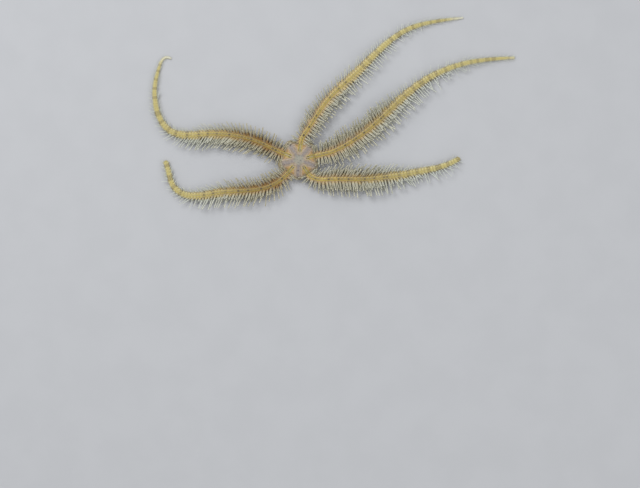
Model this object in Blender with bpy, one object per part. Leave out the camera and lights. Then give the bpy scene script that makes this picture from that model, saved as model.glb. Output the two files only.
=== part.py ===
"""A brittle star, life size, lying flat on its mouth side with its five spiny arms spread.

The disc sits in the middle, with a lobe between each two arms, a pair of raised shield plates
at the root of each arm and the mouth frame in a pocket under it. Each arm is a tapering,
flat-bottomed strand that follows one smooth curve, divided into a few lengths, and carries
rows of blunt glassy spines on both sides. Two arms end in a blunt break, as the animal has
shed their tips. The model rests on the flat undersides of its arms. Sizes are in millimetres.
"""

import math
from random import Random

import bpy
import numpy as np
from mathutils import Vector

MM = 0.001
GAP = 0.3

# The middle of the disc, placed so that the whole animal is centred on the origin.
DISC_AT = (-11.65, -17.46)

# Disc: a flat notch at each arm, and a round lobe between two arms.
DISC_NOTCH_RADIUS = 5.9
NOTCH_HALF_WIDTH = 1.75
LOBE_STEPS = (0.12, 0.28, 0.5, 0.72, 0.88)
LOBE_ROUNDNESS = 0.5
DISC_TOP = 3.9
DISC_RIM_HEIGHT = 1.7
# Rings of the disc's back: how far out, and how high above the rim, as shares.
BACK_PROFILE = ((0.2, 1.0), (0.45, 0.97), (0.66, 0.9), (0.82, 0.78), (0.93, 0.6), (1.0, 0.36))
# Rings of the soft pouches under the lobes: how far out as a share, and how far up.
POUCH_PROFILE = ((1.0, 1.55), (0.94, 0.97), (0.84, 0.35))
BED_HEIGHTS = (0.6, 0.31, 0.0)

# Radial shields, the pair of plates at the root of each arm: the corners of one, outwards
# and sideways along the arm, and how far it stands above the disc's back and reaches in.
SHIELD_CORNERS = ((3.2, 0.38), (5.75, 0.5), (5.2, 1.95))
SHIELD_HEIGHT = 0.18
SHIELD_SUNK = 0.5
SHIELD_TOP_SHARE = 0.8

# Mouth frame, in a round pocket: five jaws that point in between the arms, with a slit
# towards each arm.
POCKET_RADIUS = 3.4
POCKET_DEPTH = 1.4
POCKET_LIP = 0.5
FRAME_RADIUS = POCKET_RADIUS - GAP
FRAME_TOP = POCKET_DEPTH - GAP
FRAME_BOTTOM = 0.12
FRAME_BEVEL = 0.22
JAW_TIP_RADIUS = 0.55
JAW_SHOULDER_RADIUS = 0.95
JAW_SHOULDER_ANGLE = 22.0
SLIT_RADIUS = 2.1
SLIT_SIDE_RADIUS = 1.8
SLIT_HALF_ANGLE = 14.0

# Arms
ARM_START_RADIUS = DISC_NOTCH_RADIUS + GAP
ARM_WIDTH = 2.7
ARM_HEIGHT_SHARE = 0.78
# Half of the arm's cross-section, from the flat underside up to the back, as shares of its
# width and height.
ARM_PROFILE = ((0.27, 0.0), (0.5, 0.36), (0.41, 0.8), (0.15, 1.0))
RING_SPACING = 2.4
ROUTE_STEP = 0.1
# An arm keeps its width far out and narrows faster and faster, by this power of the share of
# the way.
TAPER_POWER = 2.2
# The rounding of an arm's end: its length as a share of the end's width, and what is left of
# the width there.
END_ROUNDING = 0.35
END_NARROWING = 0.62

# Spines
SPINE_SPACING = 1.1
SPINE_THICKNESS = 0.54
THIN_SPINE_SHARE = 0.85
SPINE_TIP_WIDTH = 0.56
SPINE_TIP_DEPTH = 0.4
SHORTEST_SPINE = 0.7
# A spine starts this far out from the arm's midline, as a share of the arm's width, and its
# root is sunk by this much, or less in a thin arm.
SKIN_SHARE = 0.46
SPINE_SUNK = 0.75
SUNK_SHARE = 0.34
# Rows of spines, each with its height on the arm's side as a share of the arm's height, its
# elevation in degrees and its length as a share of the longest.
SPINE_ROWS = ((0.66, 50.0, 0.94), (0.36, 5.0, 0.8), (0.54, 26.0, 1.0))
RIGHT_SIDE_SHIFT = 0.35
# Spines lie lower and get thinner where the arm narrows between these widths.
NARROW_ARM = 0.5
BROAD_ARM = 1.6
NARROW_ARM_RISE = 0.4
LOWEST_RISE = 3.0
# The first spines at the disc are shorter, as a share, and reach full length this far out.
FIRST_SPINES_SHARE = 0.68
FULL_LENGTH_AT = 14.0
# How far a spine differs from its row, at random: degrees, and share of its length.
LEAN_SPREAD = 8.0
RISE_SPREAD = 7.0
LENGTH_SPREAD = (0.86, 1.1)
RANDOM_SEED = 11
# Clearances: between the middles of two spines of different nodes, from a spine's root to
# the cut and to the disc, and to the floor. A spine that comes too near is shortened.
SPINE_CLEARANCE = 1.1
ROOT_FROM_CUT = 0.75
ROOT_FROM_DISC = 1.25
FLOOR_CLEARANCE = 0.06
SHORTER_SHARES = (1.0, 0.9, 0.8, 0.7, 0.6, 0.5)

# Each arm: the angle where it leaves the disc, how far the disc's lobe to its left reaches,
# the points that its smooth curve passes through (from the disc's middle), its width at the
# end, how far from the disc it starts to taper, how far from the disc its spines start to
# shorten, the length of its longest spines on the left and on the right of its heading, the
# share of that left at its end, how much they lean towards the arm's end on each side, how
# much of its end is bare of spines, and the number of lengths that it is made of.
ARMS = {
    "arm_1": {
        "angle": 84.0,
        "lobe_radius": 8.0,
        "points": (
            (2.9, 10.8), (10.6, 22.1), (20.4, 31.5), (30.1, 41.0),
            (41.1, 48.7), (47.6, 50.7), (61.0, 52.7),
        ),
        "end_width": 0.6,
        "taper_from": 28.0,
        "spines_fade_from": 32.0,
        "spine_length": (4.0, 5.0),
        "end_share": 0.16,
        "lean": (25.0, 10.0),
        "bare_end": 4.0,
        "lengths": 5,
    },
    "arm_2": {
        "angle": 14.0,
        "lobe_radius": 7.8,
        "points": (
            (11.4, 2.8), (17.9, 5.9), (29.5, 14.6), (39.8, 24.5),
            (51.9, 32.4), (65.7, 36.6), (80.0, 37.9),
        ),
        "end_width": 0.9,
        "taper_from": 36.0,
        "spines_fade_from": 42.0,
        "spine_length": (5.0, 5.6),
        "end_share": 0.16,
        "lean": (22.0, 8.0),
        "bare_end": 0.0,
        "lengths": 5,
    },
    "arm_3": {
        "angle": -56.0,
        "lobe_radius": 7.4,
        "points": (
            (5.9, -6.8), (11.7, -7.1), (21.5, -7.1), (36.1, -5.7),
            (45.7, -4.0), (55.2, -1.5), (59.6, 0.7),
        ),
        "end_width": 2.0,
        "taper_from": 26.0,
        "spines_fade_from": 30.0,
        "spine_length": (4.8, 5.6),
        "end_share": 0.42,
        "lean": (20.0, 9.0),
        "bare_end": 0.0,
        "lengths": 4,
    },
    "arm_4": {
        "angle": -130.0,
        "lobe_radius": 7.3,
        "points": (
            (-9.7, -9.2), (-19.2, -11.3), (-28.8, -11.9), (-38.3, -13.2),
            (-43.1, -12.4), (-46.6, -9.3), (-48.1, -4.7), (-49.4, -0.1),
        ),
        "end_width": 2.0,
        "taper_from": 24.0,
        "spines_fade_from": 24.0,
        "spine_length": (5.4, 4.6),
        "end_share": 0.36,
        "lean": (10.0, 18.0),
        "bare_end": 0.0,
        "lengths": 4,
    },
    "arm_5": {
        "angle": 157.5,
        "lobe_radius": 8.0,
        "points": (
            (-15.8, 7.0), (-21.9, 8.7), (-34.7, 9.6), (-41.1, 9.2), (-47.4, 10.7),
            (-51.4, 15.4), (-53.1, 21.6), (-53.2, 28.0), (-51.7, 34.4), (-50.5, 37.1),
            (-49.3, 38.0), (-47.1, 37.5),
        ),
        "end_width": 0.65,
        "taper_from": 28.0,
        "spines_fade_from": 32.0,
        "spine_length": (5.2, 4.4),
        "end_share": 0.12,
        "lean": (26.0, 14.0),
        "bare_end": 4.5,
        "lengths": 6,
    },
}


def clear_scene():
    """Removes whatever the file holds before the model is made."""
    for obj in list(bpy.data.objects):
        bpy.data.objects.remove(obj)


def material(name, colour, roughness):
    """A Principled finish of one colour."""
    finish = bpy.data.materials.new(name)
    finish.use_nodes = True
    shader = finish.node_tree.nodes["Principled BSDF"]
    shader.inputs["Base Color"].default_value = (*colour, 1.0)
    shader.inputs["Roughness"].default_value = roughness
    shader.inputs["Metallic"].default_value = 0.0
    return finish


def mesh_object(name, points, faces, finish=None, collection=None):
    """An object made of points in millimetres, round the disc's middle, and faces."""
    mesh = bpy.data.meshes.new(name)
    placed = [
        ((x + DISC_AT[0]) * MM, (y + DISC_AT[1]) * MM, z * MM) for x, y, z in points
    ]
    mesh.from_pydata(placed, [], faces)
    mesh.validate()
    if finish is not None:
        mesh.materials.append(finish)
    obj = bpy.data.objects.new(name, mesh)
    (collection or bpy.context.scene.collection).objects.link(obj)
    return obj


def new_collection(name):
    """An empty collection for the pieces that a node is joined from."""
    collection = bpy.data.collections.new(name)
    bpy.context.scene.collection.children.link(collection)
    return collection


def ring_walls(rings, around):
    """The four-sided faces between successive rings of points."""
    faces = []
    for ring in range(rings - 1):
        near, far = ring * around, (ring + 1) * around
        for i in range(around):
            j = (i + 1) % around
            faces.append((near + i, near + j, far + j, far + i))
    return faces


def ring_faces(rings, around):
    """The walls between successive rings of points, and a cap on each end."""
    first = tuple(reversed(range(around)))
    last = tuple(range((rings - 1) * around, rings * around))
    return [*ring_walls(rings, around), first, last]


def polar_point(radius, angle, height):
    """A point at a distance and an angle in degrees from the disc's middle."""
    turn = math.radians(angle)
    return (radius * math.cos(turn), radius * math.sin(turn), height)


def smooth(low, high, value):
    """0 below low, 1 above high, and an S-shaped rise between them."""
    share = min(1.0, max(0.0, (value - low) / (high - low)))
    return share * share * (3 - 2 * share)


def join_collection(node, collection):
    """Joins every object of a collection to the node by one Boolean union."""
    union = node.modifiers.new("join", "BOOLEAN")
    union.operation = "UNION"
    union.operand_type = "COLLECTION"
    union.collection = collection
    bpy.context.view_layer.update()
    joined = bpy.data.meshes.new_from_object(
        node.evaluated_get(bpy.context.evaluated_depsgraph_get())
    )
    node.modifiers.clear()
    node.data = joined
    for obj in list(collection.objects):
        bpy.data.objects.remove(obj)
    bpy.data.collections.remove(collection)
    keep_largest_surface(node)


def keep_largest_surface(node):
    """Drops every closed surface of the node but the largest one."""
    mesh = node.data
    owner = list(range(len(mesh.vertices)))

    def root_of(i):
        while owner[i] != i:
            owner[i] = owner[owner[i]]
            i = owner[i]
        return i

    for edge in mesh.edges:
        a, b = (root_of(i) for i in edge.vertices)
        owner[a] = b
    groups = {}
    for face in mesh.polygons:
        groups.setdefault(root_of(face.vertices[0]), []).append(face)
    largest = max(groups.values(), key=lambda faces: sum(face.area for face in faces))
    kept = sorted({i for face in largest for i in face.vertices})
    index = {old: new for new, old in enumerate(kept)}
    points = [mesh.vertices[i].co.copy() for i in kept]
    faces = [tuple(index[i] for i in face.vertices) for face in largest]
    clean = bpy.data.meshes.new(node.name)
    clean.from_pydata(points, [], faces)
    for finish in mesh.materials:
        clean.materials.append(finish)
    node.data = clean


class Route:
    """One smooth curve from the disc's edge through an arm's points, measured by length.

    It is a cubic spline on chord length that leaves the disc straight outwards.
    """

    def __init__(self, angle, points):
        out = np.array([math.cos(math.radians(angle)), math.sin(math.radians(angle))])
        knots = np.array([out * ARM_START_RADIUS, *points])
        chords = np.hypot(*np.diff(knots, axis=0).T)
        at = np.concatenate([[0.0], np.cumsum(chords)])
        slopes = self.slopes(knots, chords, out)
        fine = np.arange(0.0, at[-1], ROUTE_STEP)
        span = np.clip(np.searchsorted(at, fine, side="right") - 1, 0, len(chords) - 1)
        width = chords[span][:, None]
        t = (fine[:, None] - at[span][:, None]) / width
        self.line = (
            (2 * t**3 - 3 * t**2 + 1) * knots[span]
            + (t**3 - 2 * t**2 + t) * width * slopes[span]
            + (3 * t**2 - 2 * t**3) * knots[span + 1]
            + (t**3 - t**2) * width * slopes[span + 1]
        )
        steps = np.hypot(*np.diff(self.line, axis=0).T)
        self.measure = np.concatenate([[0.0], np.cumsum(steps)])
        self.length = float(self.measure[-1])

    @staticmethod
    def slopes(knots, chords, out):
        """The slopes that make the curve bend evenly: fixed at the disc, free at the end."""
        count = len(knots)
        matrix = np.zeros((count, count))
        rows = np.zeros((count, 2))
        matrix[0, 0], rows[0] = 1.0, out
        for i in range(1, count - 1):
            before, after = chords[i - 1], chords[i]
            matrix[i, i - 1 : i + 2] = 1 / before, 2 * (1 / before + 1 / after), 1 / after
            rows[i] = 3 * (
                (knots[i] - knots[i - 1]) / before**2 + (knots[i + 1] - knots[i]) / after**2
            )
        matrix[-1, -2:] = 1.0, 2.0
        rows[-1] = 3 * (knots[-1] - knots[-2]) / chords[-1]
        return np.linalg.solve(matrix, rows)

    def at(self, distance):
        """The point at this distance from the disc's edge."""
        return np.array([np.interp(distance, self.measure, self.line[:, k]) for k in (0, 1)])

    def heading(self, distance):
        """The unit vector towards the arm's end there."""
        ahead = self.at(min(distance + ROUTE_STEP, self.length))
        behind = self.at(max(distance - ROUTE_STEP, 0.0))
        step = ahead - behind
        return step / np.hypot(*step)


def left_of(heading):
    """The level unit vector to the left of a heading."""
    return np.array([-heading[1], heading[0]])


def arm_width(arm, route, distance):
    """An even width near the disc that narrows to the end, which is rounded off."""
    share = max(0.0, (distance - arm["taper_from"]) / (route.length - arm["taper_from"]))
    width = ARM_WIDTH + (arm["end_width"] - ARM_WIDTH) * share**TAPER_POWER
    if route.length - distance < END_ROUNDING * arm["end_width"]:
        width *= END_NARROWING
    return width


def arm_ring(arm, route, distance):
    """The arm's cross-section at a distance, as points going round it."""
    width = arm_width(arm, route, distance)
    height = width * ARM_HEIGHT_SHARE
    middle, side = route.at(distance), left_of(route.heading(distance))
    half = [(share * width, up * height) for share, up in ARM_PROFILE]
    outline = half + [(-across, up) for across, up in reversed(half)]
    return [(*(middle - side * across), up) for across, up in outline]


def arm_length(name, arm, route, start, end, finish):
    """One length of an arm's core: rings of points between two flat ends."""
    stations = list(np.linspace(start, end, 1 + max(2, round((end - start) / RING_SPACING))))
    if end >= route.length:
        stations.insert(-1, end - END_ROUNDING * arm["end_width"] - FLOOR_CLEARANCE)
    points = [point for distance in stations for point in arm_ring(arm, route, distance)]
    return mesh_object(name, points, ring_faces(len(stations), 2 * len(ARM_PROFILE)), finish)


def spine_length(arm, route, distance, side):
    """The longest spine there: short at the disc, full along the arm, fading to its end."""
    full = arm["spine_length"][0 if side > 0 else 1]
    first = FIRST_SPINES_SHARE
    growth = first + (1 - first) * smooth(0.0, FULL_LENGTH_AT, distance)
    fade_from = arm["spines_fade_from"]
    fade = max(0.0, distance - fade_from) / (route.length - fade_from)
    return full * growth * (1 - (1 - arm["end_share"]) * fade)


def spine_shape(arm, route, distance, side, row, draw):
    """A spine's start inside the arm, the unit vector along it, its length and its thickness."""
    height_share, elevation, length_share = row
    width = arm_width(arm, route, distance)
    broad = smooth(NARROW_ARM, BROAD_ARM, width)
    thickness = SPINE_THICKNESS * (THIN_SPINE_SHARE + (1 - THIN_SPINE_SHARE) * broad)
    lean = arm["lean"][0 if side > 0 else 1] + draw.uniform(-LEAN_SPREAD, LEAN_SPREAD)
    rise = elevation * (NARROW_ARM_RISE + (1 - NARROW_ARM_RISE) * broad)
    rise = max(LOWEST_RISE, rise + broad * draw.uniform(-RISE_SPREAD, RISE_SPREAD))
    lean, rise = math.radians(lean), math.radians(rise)
    heading = route.heading(distance)
    out = left_of(heading) * side
    level = out * math.cos(lean) + heading * math.sin(lean)
    along = Vector((*(level * math.cos(rise)), math.sin(rise)))
    sunk = min(SPINE_SUNK, SUNK_SHARE * width / math.cos(rise))
    lowest = FLOOR_CLEARANCE + thickness / 2 * math.cos(rise) + sunk * math.sin(rise)
    up = max(width * ARM_HEIGHT_SHARE * height_share, lowest)
    start = Vector((*(route.at(distance) + out * width * SKIN_SHARE), up)) - along * sunk
    outside = spine_length(arm, route, distance, side) * length_share
    outside = max(SHORTEST_SPINE, outside * draw.uniform(*LENGTH_SPREAD))
    return start, along, sunk + outside, thickness


def segment_distance(a0, a1, b0, b1):
    """The shortest distance between two straight pieces."""
    first, second, between = a1 - a0, b1 - b0, a0 - b0
    a, e, f = first.length_squared, second.length_squared, second.dot(between)
    b, c = first.dot(second), first.dot(between)
    spread = a * e - b * b
    s = min(1.0, max(0.0, (b * f - c * e) / spread)) if spread > 0.0 else 0.0
    t = (b * s + f) / e
    if not 0.0 <= t <= 1.0:
        t = min(1.0, max(0.0, t))
        s = min(1.0, max(0.0, (b * t - c) / a))
    return (a0 + first * s - b0 - second * t).length


def is_clear(node, start, end, spines, cores):
    """Whether a spine keeps its distance from the spines of other nodes and from other arms."""
    for other, other_start, other_end in spines:
        if other != node and segment_distance(start, end, other_start, other_end) < SPINE_CLEARANCE:
            return False
    mine = node.rsplit("_length_", 1)[0]
    tip = np.array([end.x, end.y])
    for arm_name, line, half_width in cores:
        if arm_name != mine and (np.hypot(*(line - tip).T) - half_width).min() < 2 * GAP:
            return False
    return True


def spine_object(name, start, along, length, thickness, collection):
    """A blunt, four-sided spine, a little wider and flatter at its tip."""
    across = along.cross(Vector((0, 0, 1))).normalized()
    up = across.cross(along)
    tip_share = thickness / SPINE_THICKNESS
    sizes = (
        (0.0, thickness / 2, thickness / 2),
        (length, SPINE_TIP_WIDTH * tip_share / 2, SPINE_TIP_DEPTH * tip_share / 2),
    )
    points = [
        start + along * far + across * (a * half_width) + up * (b * half_depth)
        for far, half_width, half_depth in sizes
        for a, b in ((-1, -1), (1, -1), (1, 1), (-1, 1))
    ]
    mesh_object(name, points, ring_faces(2, 4), None, collection)


def grow_spines(node, arm, route, first, last, draw, spines, cores):
    """Sets the spines of one length of arm, row after row, and joins them to it."""
    collection = new_collection(node.name + "_spines")
    count = 1 + round((last - first) / SPINE_SPACING)
    for side in (1, -1):
        right = side < 0
        for i in range(count):
            shift = RIGHT_SIDE_SHIFT * SPINE_SPACING * right
            distance = min(last, first + (last - first) * i / (count - 1) + shift)
            row = SPINE_ROWS[(i + right) % len(SPINE_ROWS)]
            start, along, length, thickness = spine_shape(arm, route, distance, side, row, draw)
            for share in SHORTER_SHARES:
                tip = start + along * (length * share)
                if is_clear(node.name, start, tip, spines, cores):
                    spines.append((node.name, start, tip))
                    name = f"{node.name}_spine_{len(spines)}"
                    spine_object(name, start, along, length * share, thickness, collection)
                    break
    join_collection(node, collection)


def make_arms(finish):
    """Every arm, cut into lengths that meet face to face, with its spines."""
    routes = {name: Route(arm["angle"], arm["points"]) for name, arm in ARMS.items()}
    cores = [
        (
            name,
            route.line,
            np.array([arm_width(ARMS[name], route, d) / 2 for d in route.measure]),
        )
        for name, route in routes.items()
    ]
    spines = []
    for number, (name, arm) in enumerate(ARMS.items()):
        route = routes[name]
        draw = Random(RANDOM_SEED + number)
        cuts = np.linspace(0.0, route.length, arm["lengths"] + 1)
        for piece in range(arm["lengths"]):
            start = cuts[piece] + (GAP / 2 if piece else 0.0)
            end = cuts[piece + 1] - (0.0 if piece + 1 == arm["lengths"] else GAP / 2)
            node = arm_length(f"{name}_length_{piece + 1}", arm, route, start, end, finish)
            first = start + (ROOT_FROM_CUT if piece else ROOT_FROM_DISC)
            last = min(end - ROOT_FROM_CUT, route.length - arm["bare_end"])
            grow_spines(node, arm, route, first, last, draw, spines, cores)


def arms_around():
    """Each arm in turn round the disc, as its angle, the next arm's angle and the lobe's reach."""
    arms = sorted(ARMS.values(), key=lambda arm: arm["angle"] % 360.0)
    angles = [arm["angle"] % 360.0 for arm in arms]
    following = [*angles[1:], angles[0] + 360.0]
    return [(here, then, arm["lobe_radius"]) for here, then, arm in zip(angles, following, arms)]


def disc_spokes():
    """The disc's outline, as (angle, radius, whether an arm lies there) going round it."""
    corner = math.degrees(math.atan2(NOTCH_HALF_WIDTH, DISC_NOTCH_RADIUS))
    corner_radius = math.hypot(NOTCH_HALF_WIDTH, DISC_NOTCH_RADIUS)
    spokes = []
    for centre, following, lobe_radius in arms_around():
        free = (following - centre) - 2 * corner
        for across in (-corner, -corner / 2, 0.0, corner / 2, corner):
            radius = DISC_NOTCH_RADIUS / math.cos(math.radians(across))
            spokes.append((centre + across, radius, True))
        for share in LOBE_STEPS:
            bulge = math.sin(math.pi * share) ** LOBE_ROUNDNESS
            radius = corner_radius + (lobe_radius - corner_radius) * bulge
            spokes.append((centre + corner + free * share, radius, False))
    return spokes


def back_height(spokes, angle, far):
    """The height of the disc's back at an angle and a distance from its middle."""
    angles = [spoke[0] for spoke in spokes]
    radius = np.interp(angle % 360.0, angles, [spoke[1] for spoke in spokes])
    shares, heights = zip(*BACK_PROFILE)
    return DISC_RIM_HEIGHT + (DISC_TOP - DISC_RIM_HEIGHT) * np.interp(far / radius, shares, heights)


def shield_object(name, angle, side, spokes, collection):
    """A shield plate: a bevelled triangle that follows the disc's back and reaches into it."""
    corners = np.array(SHIELD_CORNERS) * (1, side)
    if side < 0:
        corners = corners[::-1]
    outline = np.concatenate([corners, (corners + np.roll(corners, -1, axis=0)) / 2])
    outline = outline[[0, 3, 1, 4, 2, 5]]
    middle = corners.mean(axis=0)
    top = middle + (outline - middle) * SHIELD_TOP_SHARE
    points = []
    for ring, lift in ((outline, -SHIELD_SUNK), (top, SHIELD_HEIGHT)):
        for outwards, sideways in [*ring, middle]:
            far = math.hypot(outwards, sideways)
            turn = angle + math.degrees(math.atan2(sideways, outwards))
            points.append(polar_point(far, turn, back_height(spokes, turn, far) + lift))
    around = len(outline)
    below, above = around, 2 * around + 1
    faces = []
    for i in range(around):
        j = (i + 1) % around
        low_i, low_j, high_i, high_j = i, j, around + 1 + i, around + 1 + j
        faces += [(low_j, low_i, below), (high_i, high_j, above), (low_i, low_j, high_j, high_i)]
    mesh_object(name, points, faces, None, collection)


def make_disc(finish):
    """The disc: a low dome, arm beds and soft pouches below, the mouth pocket and the shields."""
    spokes = disc_spokes()
    points = []
    for share, height in BACK_PROFILE:
        rise = DISC_RIM_HEIGHT + (DISC_TOP - DISC_RIM_HEIGHT) * height
        points += [polar_point(radius * share, angle, rise) for angle, radius, _ in spokes]
    for (share, pouch), bed in zip(POUCH_PROFILE, BED_HEIGHTS):
        for angle, radius, at_arm in spokes:
            far = radius if at_arm else radius * share
            points.append(polar_point(far, angle, bed if at_arm else pouch))
    pouch_floor = POUCH_PROFILE[-1][1]
    for angle, _, at_arm in spokes:
        level = 0.0 if at_arm else pouch_floor / 2
        points.append(polar_point(POCKET_RADIUS + POCKET_LIP, angle, level))
    for level in (POCKET_DEPTH / 2, POCKET_DEPTH):
        points += [polar_point(POCKET_RADIUS, angle, level) for angle, _, _ in spokes]
    around = len(spokes)
    faces = [tuple(reversed(face)) for face in ring_faces(len(points) // around, around)]
    disc = mesh_object("disc", points, faces, finish)
    collection = new_collection("disc_shields")
    for name, arm in ARMS.items():
        for side, label in ((1, "left"), (-1, "right")):
            shield_object(f"{name}_shield_{label}", arm["angle"], side, spokes, collection)
    join_collection(disc, collection)


def jaw_outline():
    """The outline of the mouth opening between the five jaws, as (angle, radius) round it."""
    outline = []
    for centre, following, _ in arms_around():
        middle = (centre + following) / 2
        outline += [
            (centre, SLIT_RADIUS),
            (centre + SLIT_HALF_ANGLE, SLIT_SIDE_RADIUS),
            (middle - JAW_SHOULDER_ANGLE, JAW_SHOULDER_RADIUS),
            (middle, JAW_TIP_RADIUS),
            (middle + JAW_SHOULDER_ANGLE, JAW_SHOULDER_RADIUS),
            (following - SLIT_HALF_ANGLE, SLIT_SIDE_RADIUS),
        ]
    return outline


def make_mouth_frame(finish):
    """The mouth frame: a bevelled ring, open between its jaws."""
    outline = jaw_outline()
    outside = (
        (FRAME_RADIUS, FRAME_TOP),
        (FRAME_RADIUS, FRAME_BOTTOM + FRAME_BEVEL),
        (FRAME_RADIUS - FRAME_BEVEL, FRAME_BOTTOM),
    )
    inside = (
        (FRAME_BEVEL, FRAME_BOTTOM),
        (0.0, FRAME_BOTTOM + FRAME_BEVEL),
        (0.0, FRAME_TOP),
    )
    points = [
        polar_point(radius, angle, level) for radius, level in outside for angle, _ in outline
    ]
    points += [
        polar_point(opening + set_back, angle, level)
        for set_back, level in inside
        for angle, opening in outline
    ]
    around = len(outline)
    rings = len(outside) + len(inside)
    faces = ring_walls(rings + 1, around)
    faces = [tuple(i % (rings * around) for i in reversed(face)) for face in faces]
    mesh_object("mouth_frame", points, faces, finish)


def main():
    clear_scene()
    make_disc(material("disc_skin", (0.45, 0.42, 0.44), 0.5))
    make_mouth_frame(material("mouth", (0.72, 0.5, 0.25), 0.5))
    make_arms(material("arm_skin", (0.55, 0.47, 0.22), 0.5))


main()
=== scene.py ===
import math

import bpy
import numpy as np
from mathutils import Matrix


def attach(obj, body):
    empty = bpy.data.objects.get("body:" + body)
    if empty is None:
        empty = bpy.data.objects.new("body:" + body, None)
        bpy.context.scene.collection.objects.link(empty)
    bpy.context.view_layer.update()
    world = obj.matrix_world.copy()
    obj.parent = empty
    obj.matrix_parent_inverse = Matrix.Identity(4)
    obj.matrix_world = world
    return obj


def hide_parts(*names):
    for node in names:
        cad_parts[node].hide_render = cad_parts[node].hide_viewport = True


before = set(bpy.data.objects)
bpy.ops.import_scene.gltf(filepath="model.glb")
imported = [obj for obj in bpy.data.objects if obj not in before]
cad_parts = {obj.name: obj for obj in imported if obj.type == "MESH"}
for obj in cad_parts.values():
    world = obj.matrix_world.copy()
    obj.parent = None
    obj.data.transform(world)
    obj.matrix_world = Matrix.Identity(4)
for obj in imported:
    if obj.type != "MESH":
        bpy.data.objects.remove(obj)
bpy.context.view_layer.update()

# The imported solids of the brittle star are the fixed frame that every piece lies on.
# Lengths are in millimetres throughout, and become metres when a mesh is made.
MM = 0.001


# The disc. A real one is a soft, low dome over the mouth, with a puffed lobe between each two
# arms, covered in fine scales that lie edge to edge. Two three-sided shield plates stand side by
# side at the root of each arm, and the arm's own lines run on between them.
DISC_AT = np.array([-11.65, -17.46])
ARM_ANGLES = {"arm_1": 84.0, "arm_2": 14.0, "arm_3": 304.0, "arm_4": 230.0, "arm_5": 157.5}
LOBE_RADII = {"arm_1": 8.0, "arm_2": 7.8, "arm_3": 7.4, "arm_4": 7.3, "arm_5": 8.0}
NOTCH_RADIUS = 5.9
NOTCH_HALF_WIDTH = 1.75
DISC_TOP = 3.9
RIM_HEIGHT = 1.7
RIM_DROP = 0.64
DOME_POWER = 5.2
SHIELD_CORNERS = np.array([[3.2, 0.38], [5.75, 0.5], [5.2, 1.95]])
SHIELD_HEIGHT = 0.16
SHIELD_CROWN = 0.09
SCALE_SIZE = 0.44
SCALE_RELIEF = 0.03
POCKET_RADIUS = 3.02
POCKET_DEPTH = 1.45
CHANNEL_DEPTH = 0.1
DISC_COLUMNS = 400
DISC_RINGS = 86
# The underside from the rim in to the mouth pocket: how far out, as a share of the way, and the
# height under a lobe, which bulges as a pouch, and over an arm, which passes below the disc.
UNDERSIDE = (
    (1.0, 2.49, 2.49), (1.02, 1.95, 2.36), (0.98, 1.2, 2.2), (0.86, 0.6, 1.95),
    (0.6, 0.34, 1.75), (0.3, 0.28, 1.5), (0.1, 0.32, 1.2), (0.0, 0.34, 0.9),
)
# Dark spots under each lobe, out along its middle line and to its left, with their size.
POUCH_SPOTS = (
    (4.4, 1.35, 0.24), (4.55, -1.4, 0.2), (3.7, 0.1, 0.16), (3.95, 0.6, 0.08), (3.55, -0.5, 0.1),
    (6.2, 1.6, 0.2), (6.4, -1.3, 0.16), (5.0, 1.75, 0.13),
)
POUCH_PATCH = (5.5, 0.95, 0.68)
# Dark spots on the back, right and up from the disc's middle, with their size.
BACK_SPOTS = (
    (0.72, -0.27, 0.22), (0.42, -0.87, 0.14), (0.92, -0.82, 0.14), (-0.28, -1.02, 0.17),
    (-0.73, -0.12, 0.12), (0.0, 3.28, 0.15), (0.37, 2.93, 0.17), (0.02, 1.73, 0.2),
    (-0.28, -3.97, 0.28), (-3.13, 5.23, 0.36), (-4.0, 5.7, 0.26), (4.22, 4.63, 0.3),
    (-6.2, -1.8, 0.26), (-5.3, -1.77, 0.22), (6.1, -2.4, 0.32), (-0.4, -6.6, 0.3),
    (1.52, -2.52, 0.19), (-1.73, -2.12, 0.17), (-2.68, 0.93, 0.17), (2.87, 0.53, 0.19),
)


def smoothstep(low, high, value):
    """0 at low and 1 at high, with an S-shaped rise between them."""
    share = np.clip((value - low) / (high - low), 0.0, 1.0)
    return share * share * (3 - 2 * share)


def smooth_curve(points, count):
    """Evenly spaced points on a line with its corners rounded: each is cut off, four times over."""
    line = np.array(points, float)
    for _ in range(4):
        near = 0.75 * line[:-1] + 0.25 * line[1:]
        far = 0.25 * line[:-1] + 0.75 * line[1:]
        cut = np.stack([near, far], axis=1).reshape(-1, line.shape[1])
        line = np.concatenate([line[:1], cut, line[-1:]])
    steps = np.linalg.norm(np.diff(line, axis=0), axis=1)
    measure = np.concatenate([[0.0], np.cumsum(steps)])
    even = np.linspace(0.0, measure[-1], count)
    return np.stack([np.interp(even, measure, column) for column in line.T], axis=1)


def tube_faces(rows, columns):
    """Faces of a closed tube: four-sided between its rings, and a fan to the pole at each end."""
    ring = np.arange(rows * columns).reshape(rows, columns)
    turned = np.roll(ring, -1, axis=1)
    quads = np.stack([ring[:-1], turned[:-1], turned[1:], ring[1:]], axis=-1).reshape(-1, 4)
    first = np.full(columns, rows * columns)
    fans = np.concatenate([
        np.stack([turned[0], ring[0], first], axis=-1),
        np.stack([ring[-1], turned[-1], first + 1], axis=-1),
    ])
    return quads, fans


def surface_object(name, points, quads, fans, values, finish):
    """A mesh from points in millimetres, its faces, and the named numbers that each point holds."""
    mesh = bpy.data.meshes.new(name)
    mesh.from_pydata((points * MM).tolist(), [], quads.tolist() + fans.tolist())
    for label, numbers in values.items():
        kept = mesh.attributes.new(label, "FLOAT", "POINT")
        kept.data.foreach_set("value", np.asarray(numbers, np.float32).ravel())
    mesh.materials.append(finish)
    mesh.shade_smooth()
    piece = bpy.data.objects.new(name, mesh)
    bpy.context.scene.collection.objects.link(piece)
    return piece


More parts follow.
